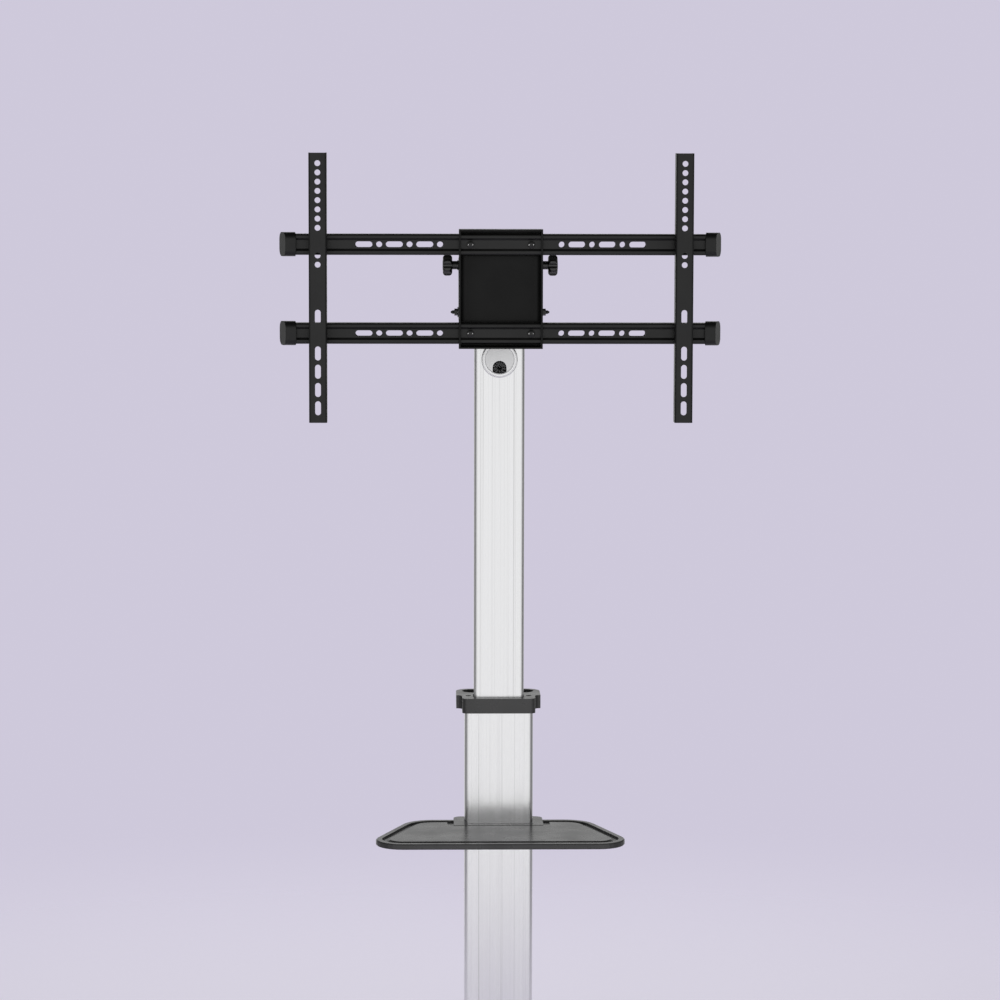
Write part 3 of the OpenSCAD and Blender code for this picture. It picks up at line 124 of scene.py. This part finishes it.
# Weld beads: step in metres, shares of the radius by which they ripple, and steps over which an end tapers
WELD_STEP = 0.0007
WELD_LEAST_STEPS = 8
WELD_RIPPLE = 0.10
WELD_PERIOD = 4
WELD_WANDER = 0.05
WELD_WANDER_TURN = 0.37
WELD_TAPER = 4
WELD_SIDES = 10
RING_SIDES = 8

# Tyre ribs, as shares of the tyre's radius. A caster in front of the split is a front one
RIB_SHARES = (0.80, 0.87)
RIB_THICK = 0.35 * MM
CASTER_SPLIT_Y = 0.06

# Threads: steps per turn, ridge as a share of the pitch, steps over which an end tapers
THREAD_STEPS = 28
THREAD_RIDGE = 0.26
THREAD_TAPER = 8
THREAD_SIDES = 6

# Knobs: node, body, axis, and the end of its box that faces outwards
KNOBS = (
    ("tilt_knob_left", "tilt_knob_l", "x", 0),
    ("tilt_knob_right", "tilt_knob_r", "x", 1),
    ("lock_knob", "height_lock", "y", 1),
    ("shelf_knob", "shelf_lock", "y", 1),
)
KNOB_RING_SINK = 0.15 * MM

# Outlet petals: number, directions and rows in each, and where along the radius a slit has its width
PETALS = 9
PETAL_STEPS = 12
PETAL_ROWS = 7
SLIT_AT = 0.6
CROWN_POWER = 0.5
DISC_RIM = 1.2 * MM
NEARLY_ZERO = 1e-6


class Tree:
    """A short way to write the node tree of a material or of the world."""

    def __init__(self, owner):
        owner.use_nodes = True
        self.tree = owner.node_tree
        self.tree.nodes.clear()

    def add(self, kind, inputs=None, **settings):
        node = self.tree.nodes.new(kind)
        for name, value in settings.items():
            setattr(node, name, value)
        for key, value in (inputs or {}).items():
            if isinstance(value, bpy.types.NodeSocket):
                self.tree.links.new(value, node.inputs[key])
            else:
                node.inputs[key].default_value = value
        return node

    def maths(self, operation, a, b=0.0, clamp=False):
        return self.add("ShaderNodeMath", {0: a, 1: b}, operation=operation, use_clamp=clamp).outputs[0]

    def spread(self, value, low, high, to_low, to_high, smooth=False):
        """Maps value from low..high onto to_low..to_high."""
        kind = "SMOOTHSTEP" if smooth else "LINEAR"
        inputs = {"Value": value, "From Min": low, "From Max": high, "To Min": to_low, "To Max": to_high}
        return self.add("ShaderNodeMapRange", inputs, interpolation_type=kind).outputs["Result"]

    def noise(self, point, per_metre, detail=2.0, rough=0.5):
        inputs = {"Vector": point, "Scale": per_metre, "Detail": detail, "Roughness": rough}
        return self.add("ShaderNodeTexNoise", inputs).outputs["Fac"]

    def stretched(self, point, scale):
        return self.add("ShaderNodeVectorMath", {0: point, 1: scale}, operation="MULTIPLY").outputs[0]

    def mix(self, factor, a, b):
        node = self.add("ShaderNodeMix", data_type="RGBA")
        for key, value in (("Factor", factor), ("A", a), ("B", b)):
            socket = node.inputs[key]
            if isinstance(value, bpy.types.NodeSocket):
                self.tree.links.new(value, socket)
            else:
                socket.default_value = value if socket.type == "VALUE" else (*value, 1.0)
        return node.outputs["Result"]


def edge_mask(t, radius):
    """1 along the sharp outer edges of a piece, 0 on its faces, and the normal rounded over them."""
    rounded = t.add("ShaderNodeBevel", {"Radius": radius * MM}, samples=EDGE_SAMPLES).outputs["Normal"]
    flat = t.add("ShaderNodeNewGeometry").outputs["Normal"]
    same = t.add("ShaderNodeVectorMath", {0: rounded, 1: flat}, operation="DOT_PRODUCT").outputs["Value"]
    return t.spread(same, 1.0, 1.0 - EDGE_REACH, 0.0, 1.0), rounded


def surface(name, dark, light, rough, grain, depth, metallic=0.0, level=0.5, cloud=9.0,
            edge=0.5, worn=None, wear=0.0, sheen=0.0):
    """A moulded, painted or plated finish: two close tones in soft clouds, a fine grain, and
    rounded, worn edges."""
    material = bpy.data.materials.new(name)
    t = Tree(material)
    point = t.add("ShaderNodeTexCoord").outputs["Object"]
    clouds = t.noise(point, cloud, *CLOUD_NOISE)
    grains = t.noise(point, grain, *GRAIN_NOISE)
    tone = t.spread(clouds, *SOFT_PART, 0.0, 1.0, smooth=True)
    speck = t.spread(grains, *WIDE_PART, -SPECK, SPECK)
    colour = t.mix(t.maths("ADD", tone, speck, clamp=True), dark, light)
    edges, rounded = edge_mask(t, edge)
    if worn:
        patches = t.spread(t.noise(point, *PATCH_NOISE), *PATCH_PART, PATCH_LEAST, 1.0)
        amount = t.maths("MULTIPLY", t.maths("MULTIPLY", edges, patches), wear)
        colour = t.mix(amount, colour, worn)
    smear = t.noise(point, cloud * SMEAR_SCALE, *SMEAR_NOISE)
    roughness = t.spread(smear, *WIDE_PART, *rough)
    bump = t.add("ShaderNodeBump", {
        "Height": grains, "Distance": depth * MM, "Strength": 1.0, "Normal": rounded}).outputs["Normal"]
    shader = t.add("ShaderNodeBsdfPrincipled", {
        "Base Color": colour, "Roughness": roughness, "Metallic": metallic, "Normal": bump,
        "Specular IOR Level": level, "Sheen Weight": sheen, "Sheen Roughness": SHEEN_ROUGH})
    t.add("ShaderNodeOutputMaterial", {"Surface": shader.outputs[0]})
    return material


def brushed(name, line, body, rough):
    """Brushed metal: fine upright streaks, with thin darker lines at uneven distances."""
    material = bpy.data.materials.new(name)
    t = Tree(material)
    point = t.add("ShaderNodeTexCoord").outputs["Object"]
    drawn = t.stretched(point, DRAWN_OUT)
    wave = t.noise(drawn, *LINE_NOISE)
    off_line = t.maths("ABSOLUTE", t.maths("SUBTRACT", wave, 0.5))
    clear = t.spread(off_line, 0.0, LINE_HALF, 0.0, 1.0, smooth=True)
    bands = t.spread(t.noise(drawn, *BAND_NOISE), *SOFT_PART, 0.0, 1.0, smooth=True)
    hair = t.spread(t.noise(drawn, *HAIR_NOISE), *HAIR_PART, 0.0, 1.0)
    satin = t.noise(point, *SATIN_NOISE)
    fine = t.maths("ADD", t.maths("MULTIPLY", bands, 0.5), t.maths("MULTIPLY", hair, 0.5))
    lit = t.maths("MULTIPLY", clear, t.spread(fine, 0.0, 1.0, STREAK_DARKEST, 1.0))
    colour = t.mix(lit, line, body)
    roughness = t.spread(fine, 0.0, 1.0, *rough)
    hairs_up = t.maths("MULTIPLY", hair, HAIR_HEIGHT)
    height = t.maths("ADD", hairs_up, t.maths("MULTIPLY", satin, SATIN_HEIGHT))
    rounded = t.add("ShaderNodeBevel", {"Radius": BRUSHED_EDGE}, samples=BRUSHED_SAMPLES).outputs["Normal"]
    bump = t.add("ShaderNodeBump", {
        "Height": height, "Distance": BRUSHED_DEPTH, "Normal": rounded}).outputs["Normal"]
    shader = t.add("ShaderNodeBsdfPrincipled", {
        "Base Color": colour, "Roughness": roughness, "Metallic": 1.0, "Normal": bump})
    t.add("ShaderNodeOutputMaterial", {"Surface": shader.outputs[0]})
    return material


def grey(tone, blue=0.0):
    """A grey tone, with a share of extra blue."""
    return (tone, tone, tone * (1 + blue))


STEEL = surface("black_powder_coat", grey(0.0030), grey(0.0055), (0.32, 0.44), level=0.36,
                grain=1500.0, depth=0.04, cloud=7.0, edge=0.6, worn=grey(0.05), wear=0.22)
PLASTIC = surface("moulded_black", grey(0.0030), grey(0.0055), (0.22, 0.34), level=0.6,
                  grain=2200.0, depth=0.015, edge=0.5, worn=grey(0.03), wear=0.2)
GREY_PLASTIC = surface("moulded_grey", grey(0.021), grey(0.031), (0.24, 0.32), level=0.5,
                       grain=2600.0, depth=0.004, edge=0.5, worn=grey(0.03), wear=0.1)
SILVER_PLASTIC = surface("painted_silver", grey(0.76, 0.01), grey(0.80, 0.01), (0.26, 0.34),
                         metallic=0.8, grain=2400.0, depth=0.004, edge=0.5)
SILVER_DISC = surface("painted_silver_disc", grey(0.60, 0.01), grey(0.64, 0.01), (0.26, 0.34),
                      metallic=0.8, grain=2400.0, depth=0.004, edge=0.5)
NATURAL_PLASTIC = surface("natural_white", (0.74, 0.73, 0.68), (0.80, 0.79, 0.74), (0.35, 0.5),
                          grain=1400.0, depth=0.01)
ZINC = surface("zinc_plate", grey(0.46, 0.02), grey(0.60, 0.03), (0.24, 0.40), metallic=1.0,
               grain=1200.0, depth=0.015, cloud=35.0, edge=0.4)
BLACK_ZINC = surface("black_zinc", grey(0.016), grey(0.030), (0.22, 0.34), metallic=0.4, level=0.6,
                     grain=1800.0, depth=0.01, cloud=40.0, edge=0.3, worn=grey(0.16), wear=0.5)
BRASS = surface("turned_brass", (0.55, 0.38, 0.15), (0.68, 0.50, 0.22), (0.22, 0.36), metallic=1.0,
                grain=1500.0, depth=0.01, cloud=60.0, edge=0.2)
RUBBER = surface("soft_rubber", grey(0.010), grey(0.017), (0.55, 0.72), level=0.3, grain=1600.0,
                 depth=0.03, edge=0.4, sheen=0.05)
TYRE = surface("tyre_rubber", grey(0.030), grey(0.046), (0.52, 0.70), level=0.35, grain=1300.0,
               depth=0.04, cloud=22.0, edge=0.6, worn=grey(0.10), wear=0.5, sheen=0.05)
# A darker, duller copy of the black powder coat, for the tray alone: painted shade
TRAY_SHADED_STEEL = surface("tray_powder_coat_painted_shade", grey(0.0030), grey(0.0050), (0.30, 0.40), level=0.16,
                     grain=1500.0, depth=0.03, cloud=7.0, edge=0.6, worn=grey(0.05), wear=0.22)
CAP_PLASTIC = surface("cap_black", grey(0.0030), grey(0.0050), (0.30, 0.40), level=0.32,
                      grain=2200.0, depth=0.015, edge=1.5, worn=grey(0.03), wear=0.1)
GLOSS_BLACK = surface("gloss_black_screws", grey(0.0020), grey(0.0040), (0.12, 0.18), level=0.4,
                      grain=1800.0, depth=0.002, cloud=40.0, edge=0.3)
# Near-black, matt rubber for the flat petal plate: its black between the pads is painted shade in the slits
PETAL_SHADE_BLACK = surface("petal_black_painted_shade", grey(0.0012), grey(0.0020), (0.7, 0.8), level=0.05,
                      grain=1600.0, depth=0.02, edge=0.2)
PETAL_RUBBER = surface("petal_rubber", grey(0.016), grey(0.022), (0.30, 0.42), level=0.7,
                       grain=1600.0, depth=0.01, edge=0.3)
ALUMINIUM = brushed("brushed_anodised", grey(0.64, 0.01), grey(0.82, 0.012), (0.17, 0.25))

FINISHES = {
    "anodised_aluminium": ALUMINIUM, "black_steel": STEEL, "black_plastic": PLASTIC,
    "grey_plastic": GREY_PLASTIC, "silver_plastic": SILVER_PLASTIC, "natural_plastic": NATURAL_PLASTIC,
    "zinc_steel": ZINC, "black_zinc": BLACK_ZINC, "brass": BRASS, "rubber": RUBBER, "tyre": TYRE,
}

# Pieces whose finish differs a little from the rest of their slot; the tray's darker copy of the powder
# coat is painted shade
OWN_FINISHES = {
    "tilt_tray": TRAY_SHADED_STEEL, "rail_caps": CAP_PLASTIC, "outlet_disc": SILVER_DISC,
    "rail_fasteners": GLOSS_BLACK, "pivot_bolts": GLOSS_BLACK,
}

for part in frame["record"]["subparts"]:
    piece = nodes[part["node"]]
    piece.data.materials.clear()
    piece.data.materials.append(OWN_FINISHES.get(part["node"], FINISHES[part["material_slot"]]))


def add_piece(name, verts, faces, body, slot, smooth=True, finish=None):
    """Makes an object from a mesh list, gives it a finish, its slot's unless told, and lets it
    ride on a body."""
    mesh = bpy.data.meshes.new(name)
    mesh.from_pydata([tuple(v) for v in verts], [], faces)
    mesh.validate()
    for face in mesh.polygons:
        face.use_smooth = smooth
    piece = bpy.data.objects.new(name, mesh)
    bpy.context.scene.collection.objects.link(piece)
    mesh.materials.append(finish or FINISHES[slot])
    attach(piece, body)
    return piece


def tube_mesh(path, radii, sides, closed):
    """Rings of points around a path, with end fans when it is open. The path keeps one side direction."""
    count = len(path)
    verts, faces = [], []
    for i, point in enumerate(path):
        before = path[(i - 1) % count] if closed or i > 0 else point
        after = path[(i + 1) % count] if closed or i < count - 1 else point
        along = (after - before).normalized()
        upright = abs(along.z) >= 0.9
        helper = Vector((0, 1, 0)) if upright else Vector((0, 0, 1))
        first = along.cross(helper).normalized()
        second = along.cross(first)
        for k in range(sides):
            turn = 2 * math.pi * k / sides
            verts.append(point + (first * math.cos(turn) + second * math.sin(turn)) * radii[i])
    for i in range(count if closed else count - 1):
        j = (i + 1) % count
        for k in range(sides):
            m = (k + 1) % sides
            faces.append((i * sides + k, i * sides + m, j * sides + m, j * sides + k))
    if not closed:
        faces.append(tuple(range(sides - 1, -1, -1)))
        faces.append(tuple((count - 1) * sides + k for k in range(sides)))
    return verts, faces


def end_taper(i, steps, over):
    """1 along a bead, and less within a few steps of its ends."""
    return min(1.0, (min(i, steps - i) + 1) / over)


def weld(name, start, end, body, slot, radius=2.1):
    """A weld bead: a rippled seam of metal between two plates."""
    start, end = Vector(start), Vector(end)
    steps = max(WELD_LEAST_STEPS, int((end - start).length / WELD_STEP))
    path = [start.lerp(end, i / steps) for i in range(steps + 1)]
    radii = []
    for i in range(steps + 1):
        ripple = WELD_RIPPLE * math.cos(2 * math.pi * i / WELD_PERIOD)
        ripple += WELD_WANDER * math.sin(i * WELD_WANDER_TURN)
        radii.append(radius * MM * (1 + ripple) * end_taper(i, steps, WELD_TAPER))
    verts, faces = tube_mesh(path, radii, WELD_SIDES, False)
    return add_piece(name, verts, faces, body, slot)


def ring(name, centre, axis, radius, thick, body, slot, steps=96):
    """A thin round bead around an axis."""
    axis = "xyz".index(axis)
    others = [i for i in range(3) if i != axis]
    path = []
    for i in range(steps):
        point = Vector(centre)
        point[others[0]] += radius * math.cos(2 * math.pi * i / steps)
        point[others[1]] += radius * math.sin(2 * math.pi * i / steps)
        path.append(point)
    verts, faces = tube_mesh(path, [thick] * steps, RING_SIDES, True)
    return add_piece(name, verts, faces, body, slot)


def middle(box):
    """The middle of a box."""
    return [(low + high) / 2 for low, high in zip(*box)]


def base_welds():
    """Beads where the cross-beam meets the legs."""
    low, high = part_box("cross_beam")
    margin = 4 * MM
    under_margin = 5 * MM
    under_radius = 1.7
    under = low[2] + 1.0 * MM
    for side, x in (("left", low[0]), ("right", high[0])):
        for face, y in (("front", low[1]), ("back", high[1])):
            bottom = (x, y, low[2] + margin)
            top = (x, y, high[2] - margin)
            weld(f"weld_{side}_{face}", bottom, top, "base", "black_steel")
        near = (x, low[1] + under_margin, under)
        far = (x, high[1] - under_margin, under)
        weld(f"weld_{side}_under", near, far, "base", "black_steel", under_radius)


def tyre_ribs():
    """Moulded ribs on both side walls of every tyre."""
    places = ["front_left", "front_right", "rear_left", "rear_right"]
    centres = {}
    for number in range(1, 5):
        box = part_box(f"caster_tyre_{number}")
        centre = middle(box)
        side = "left" if centre[0] < 0 else "right"
        end = "front" if centre[1] < CASTER_SPLIT_Y else "rear"
        centres[f"{end}_{side}"] = (number, box, centre)
    for place in places:
        number, box, centre = centres[place]
        outer = (box[1][2] - box[0][2]) / 2
        for face, x in (("in", box[0][0]), ("out", box[1][0])):
            for index, share in enumerate(RIB_SHARES):
                spot = (x, centre[1], centre[2])
                name = f"tyre_rib_{number}_{face}_{index}"
                ring(name, spot, "x", outer * share, RIB_THICK, f"wheel_{place}", "tyre")


def thread(name, centre, away, radius, length, pitch, body, slot):
    """A screw thread around the first axis, that runs outwards from its centre."""
    turns = length / pitch
    steps = int(turns * THREAD_STEPS)
    path = []
    for i in range(steps + 1):
        turn = 2 * math.pi * turns * i / steps
        shift = away * length * i / steps
        path.append(Vector(centre) + Vector((shift, radius * math.cos(turn), radius * math.sin(turn))))
    radii = [pitch * THREAD_RIDGE * end_taper(i, steps, THREAD_TAPER) for i in range(steps + 1)]
    verts, faces = tube_mesh(path, radii, THREAD_SIDES, False)
    return add_piece(name, verts, faces, body, slot)


def pivot_height():
    """Height of the tilt axis, from the joint that turns the head."""
    for joint in frame["record"]["behaviour"]["joints"]:
        if joint.get("child") == "head":
            return joint["pos_m"][2]
    raise SystemExit("no joint turns the head")


def pivot_threads():
    """Threads on the bolt tips that stand out of the pivot nuts on both sides."""
    low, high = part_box("pivot_bolts")
    depth = (low[1] + high[1]) / 2
    tip = 6.0 * MM
    radius = 2.95 * MM
    length = 2.6 * MM
    pitch = 1.0 * MM
    for side, x, away in (("left", low[0], -1), ("right", high[0], 1)):
        start = (x - away * tip, depth, pivot_height())
        thread(f"pivot_thread_{side}", start, away, radius, length, pitch, "lift", "black_zinc")


def knob_rings():
    """A moulded ring on the outer face of each knob, around the end of its stud."""
    radius = 7.5 * MM
    thick = 0.5 * MM
    steps = 64
    for name, body, axis, side in KNOBS:
        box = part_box(name)
        centre = middle(box)
        index = "xyz".index(axis)
        centre[index] = box[side][index] - (KNOB_RING_SINK if side else -KNOB_RING_SINK)
        ring(f"{name}_ring", centre, axis, radius, thick, body, "black_plastic", steps)


def hole_reach(angle, hole_r, disc_above, disc_r):
    """Distance from the middle of the petals to the edge of the cable hole, in one direction."""
    rise = math.sin(angle)
    if rise >= 0:
        return hole_r
    wall = hole_r / max(abs(math.cos(angle)), NEARLY_ZERO)
    arc = disc_above * rise + math.sqrt(disc_r ** 2 - disc_above ** 2 * (1 - rise ** 2))
    return min(wall, arc)


def wedge(middle_at, angles, inner, outers, front, back, crown):
    """A closed pad between two directions: a crowned front, a flat back and its four sides."""
    columns, rows = len(angles), PETAL_ROWS
    verts, faces = [], []
    for layer in ("front", "back"):
        for i, angle in enumerate(angles):
            across = math.sin(math.pi * i / (columns - 1))
            for k in range(rows):
                reach = inner + (outers[i] - inner) * k / (rows - 1)
                lift = crown * (across * math.sin(math.pi * k / (rows - 1))) ** CROWN_POWER
                depth = front - lift if layer == "front" else back
                x = middle_at[0] + reach * math.cos(angle)
                z = middle_at[1] + reach * math.sin(angle)
                verts.append((x, depth, z))
    far = columns * rows
    for i in range(columns - 1):
        for k in range(rows - 1):
            a, b = i * rows + k, (i + 1) * rows + k
            faces.append((a, a + 1, b + 1, b))
            faces.append((far + a, far + b, far + b + 1, far + a + 1))
    rim = [i * rows for i in range(columns)] + [(columns - 1) * rows + k for k in range(1, rows)]
    rim += [i * rows + rows - 1 for i in range(columns - 2, -1, -1)] + list(range(rows - 2, 0, -1))
    for a, b in zip(rim, rim[1:] + rim[:1]):
        faces.append((a, b, far + b, far + a))
    return verts, faces


def gather(parts):
    """Joins several mesh lists into one."""
    verts, faces = [], []
    for more_verts, more_faces in parts:
        start = len(verts)
        verts += more_verts
        faces += [tuple(start + v for v in face) for face in more_faces]
    return verts, faces


def outlet_petals():
    """Nine rubber petals in the cable hole, each with a crowned pad, cut apart by narrow slits. The flat
    plate under the pads is near-black: painted shade in the slits.
    """
    low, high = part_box("outlet_petals")
    disc_low, disc_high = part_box("outlet_disc")
    hole_r = (high[0] - low[0]) / 2
    middle_at = ((low[0] + high[0]) / 2, high[2] - hole_r)
    disc_above = (disc_low[2] + disc_high[2]) / 2 - middle_at[1]
    disc_r = (disc_high[0] - disc_low[0]) / 2 - DISC_RIM

    def wedges(slit, border, inner, front, back, crown):
        parts = []
        half = math.pi / PETALS - slit / (hole_r * SLIT_AT)
        for number in range(PETALS):
            centre = -math.pi / 2 + 2 * math.pi / PETALS * number
            angles = [centre + half * (2 * i / PETAL_STEPS - 1) for i in range(PETAL_STEPS + 1)]
            outers = [hole_reach(angle, hole_r, disc_above, disc_r) - border for angle in angles]
            parts.append(wedge(middle_at, angles, inner, outers, front, back, crown))
        return gather(parts)

    flat = wedges(slit=0.3 * MM, border=0.15 * MM, inner=0.9 * MM, front=low[1], back=high[1], crown=0.0)
    pads = wedges(slit=0.9 * MM, border=1.3 * MM, inner=3.2 * MM, front=low[1] - 0.02 * MM,
                  back=low[1] + 0.2 * MM, crown=0.7 * MM)
    # The flat plate gets the near-black matt finish: painted shade between the pads
    plate = add_piece("petals", *flat, "outlet_cover", "rubber", smooth=False, finish=PETAL_SHADE_BLACK)
    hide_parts("outlet_petals")
    add_piece("petal_pads", *pads, "outlet_cover", "rubber", finish=PETAL_RUBBER)


def outlet_beads():
    """Thin beads on the outlet: one round the turning disc and one near the edge of the fixed ring."""
    disc_low, disc_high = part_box("outlet_disc")
    ring_low, ring_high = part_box("outlet_ring")
    steps = 128
    disc_inset = 0.6 * MM
    disc_thick = 0.4 * MM
    edge_inset = 2.4 * MM
    edge_thick = 0.35 * MM
    centre = middle((disc_low, disc_high))
    centre[1] = disc_low[1]
    disc_r = (disc_high[0] - disc_low[0]) / 2 - disc_inset
    ring("outlet_disc_bead", centre, "y", disc_r, disc_thick, "outlet_cover", "silver_plastic", steps)
    centre[1] = ring_low[1]
    edge_r = (ring_high[0] - ring_low[0]) / 2 - edge_inset
    ring("outlet_ring_bead", centre, "y", edge_r, edge_thick, "lift", "silver_plastic", steps)


def ground():
    """A pale floor that fades into the pale surroundings."""
    mesh = bpy.data.meshes.new("floor")
    corners = [(-FLOOR_HALF, -FLOOR_HALF, 0), (FLOOR_HALF, -FLOOR_HALF, 0),
               (FLOOR_HALF, FLOOR_HALF, 0), (-FLOOR_HALF, FLOOR_HALF, 0)]
    mesh.from_pydata(corners, [], [(0, 1, 2, 3)])
    floor = bpy.data.objects.new("floor", mesh)
    bpy.context.scene.collection.objects.link(floor)
    material = bpy.data.materials.new("pale_floor")
    t = Tree(material)
    point = t.add("ShaderNodeTexCoord").outputs["Object"]
    away = t.add("ShaderNodeVectorMath", {0: point}, operation="LENGTH").outputs["Value"]
    fade = t.spread(away, *FLOOR_FADE, 0.0, 1.0, smooth=True)
    matt = t.add("ShaderNodeBsdfDiffuse", {"Color": (*FLOOR, 1.0)}).outputs[0]
    glow = t.add("ShaderNodeEmission", {"Color": (*FLOOR_GLOW, 1.0), "Strength": 1.0}).outputs[0]
    lit = t.add("ShaderNodeAddShader", {0: matt, 1: glow}).outputs[0]
    open_air = t.add("ShaderNodeBsdfTransparent").outputs[0]
    shader = t.add("ShaderNodeMixShader", {0: fade, 1: lit, 2: open_air}).outputs[0]
    t.add("ShaderNodeOutputMaterial", {"Surface": shader})
    mesh.materials.append(material)


def surroundings():
    """Light from all around, strongest from the front, behind a plain backdrop."""
    world = bpy.data.worlds.new("studio")
    bpy.context.scene.world = world
    t = Tree(world)
    ray = t.add("ShaderNodeLightPath").outputs
    seen = t.maths("MAXIMUM", ray["Is Camera Ray"], ray["Is Transmission Ray"])
    way = t.add("ShaderNodeSeparateXYZ", {0: t.add("ShaderNodeTexCoord").outputs["Generated"]})
    forward = t.maths("MULTIPLY", way.outputs["Y"], -1.0)
    front = t.spread(forward, *FRONT_SPAN, 0.0, FRONT_LIGHT - SIDE_LIGHT, smooth=True)
    rear_side = t.spread(way.outputs["Y"], *REAR_SIDE_SPAN, 0.0, REAR_SIDE_LIGHT - SIDE_LIGHT, smooth=True)
    rear = t.spread(way.outputs["Y"], *REAR_SPAN, 0.0, REAR_LIGHT - REAR_SIDE_LIGHT, smooth=True)
    across = t.maths("ADD", t.maths("ADD", front, rear_side), t.maths("ADD", rear, SIDE_LIGHT))
    upward = t.spread(way.outputs["Z"], *TOP_SPAN, 1.0, TOP_SHARE, smooth=True)
    level = t.maths("MULTIPLY", across, upward)
    room = t.add("ShaderNodeBackground", {"Color": (1.0, 1.0, 1.0, 1.0), "Strength": level}).outputs[0]
    pale = t.add("ShaderNodeBackground", {"Color": (*BACKDROP, 1.0), "Strength": 1.0}).outputs[0]
    shader = t.add("ShaderNodeMixShader", {0: seen, 1: room, 2: pale}).outputs[0]
    t.add("ShaderNodeOutputWorld", {"Surface": shader})


def lamps():
    """Soft lamps, and two that only put glints on the small shiny pieces."""
    shiny = bpy.data.collections.new("small_shiny_pieces")
    for node in SHINY_NODES:
        shiny.objects.link(nodes[node])
    for name, place, size, power, glint in LAMPS:
        data = bpy.data.lights.new(name, "AREA")
        data.shape = "RECTANGLE"
        data.size, data.size_y = size
        data.energy = power
        lamp = bpy.data.objects.new(name, data)
        bpy.context.scene.collection.objects.link(lamp)
        lamp.location = place
        lamp.visible_glossy = glint
        if glint:
            lamp.light_linking.receiver_collection = shiny
        lamp.rotation_euler = (Vector(LAMP_AIM) - Vector(place)).to_track_quat("-Z", "Y").to_euler()


def camera():
    """Puts the camera where the photograph was taken from."""
    yaw, pitch, roll = (math.radians(a) for a in (CAMERA_YAW, CAMERA_PITCH, CAMERA_ROLL))
    forward = Vector((math.sin(yaw) * math.cos(pitch), math.cos(yaw) * math.cos(pitch), -math.sin(pitch)))
    side = forward.cross(Vector((0, 0, 1))).normalized()
    up = side.cross(forward)
    right = side * math.cos(roll) + up * math.sin(roll)
    top = up * math.cos(roll) - side * math.sin(roll)
    data = bpy.data.cameras.new("camera")
    data.lens = CAMERA_LENS
    data.sensor_width = CAMERA_SENSOR
    data.clip_end = CAMERA_FAR
    seen_from = bpy.data.objects.new("camera", data)
    bpy.context.scene.collection.objects.link(seen_from)
    turn = Matrix((right, top, -forward)).transposed().to_4x4()
    seen_from.matrix_world = Matrix.Translation(CAMERA_AT) @ turn
    bpy.context.scene.camera = seen_from


base_welds()
tyre_ribs()
pivot_threads()
knob_rings()
outlet_petals()
outlet_beads()
ground()
surroundings()
lamps()
camera()
bpy.context.scene.view_settings.view_transform = "Standard"
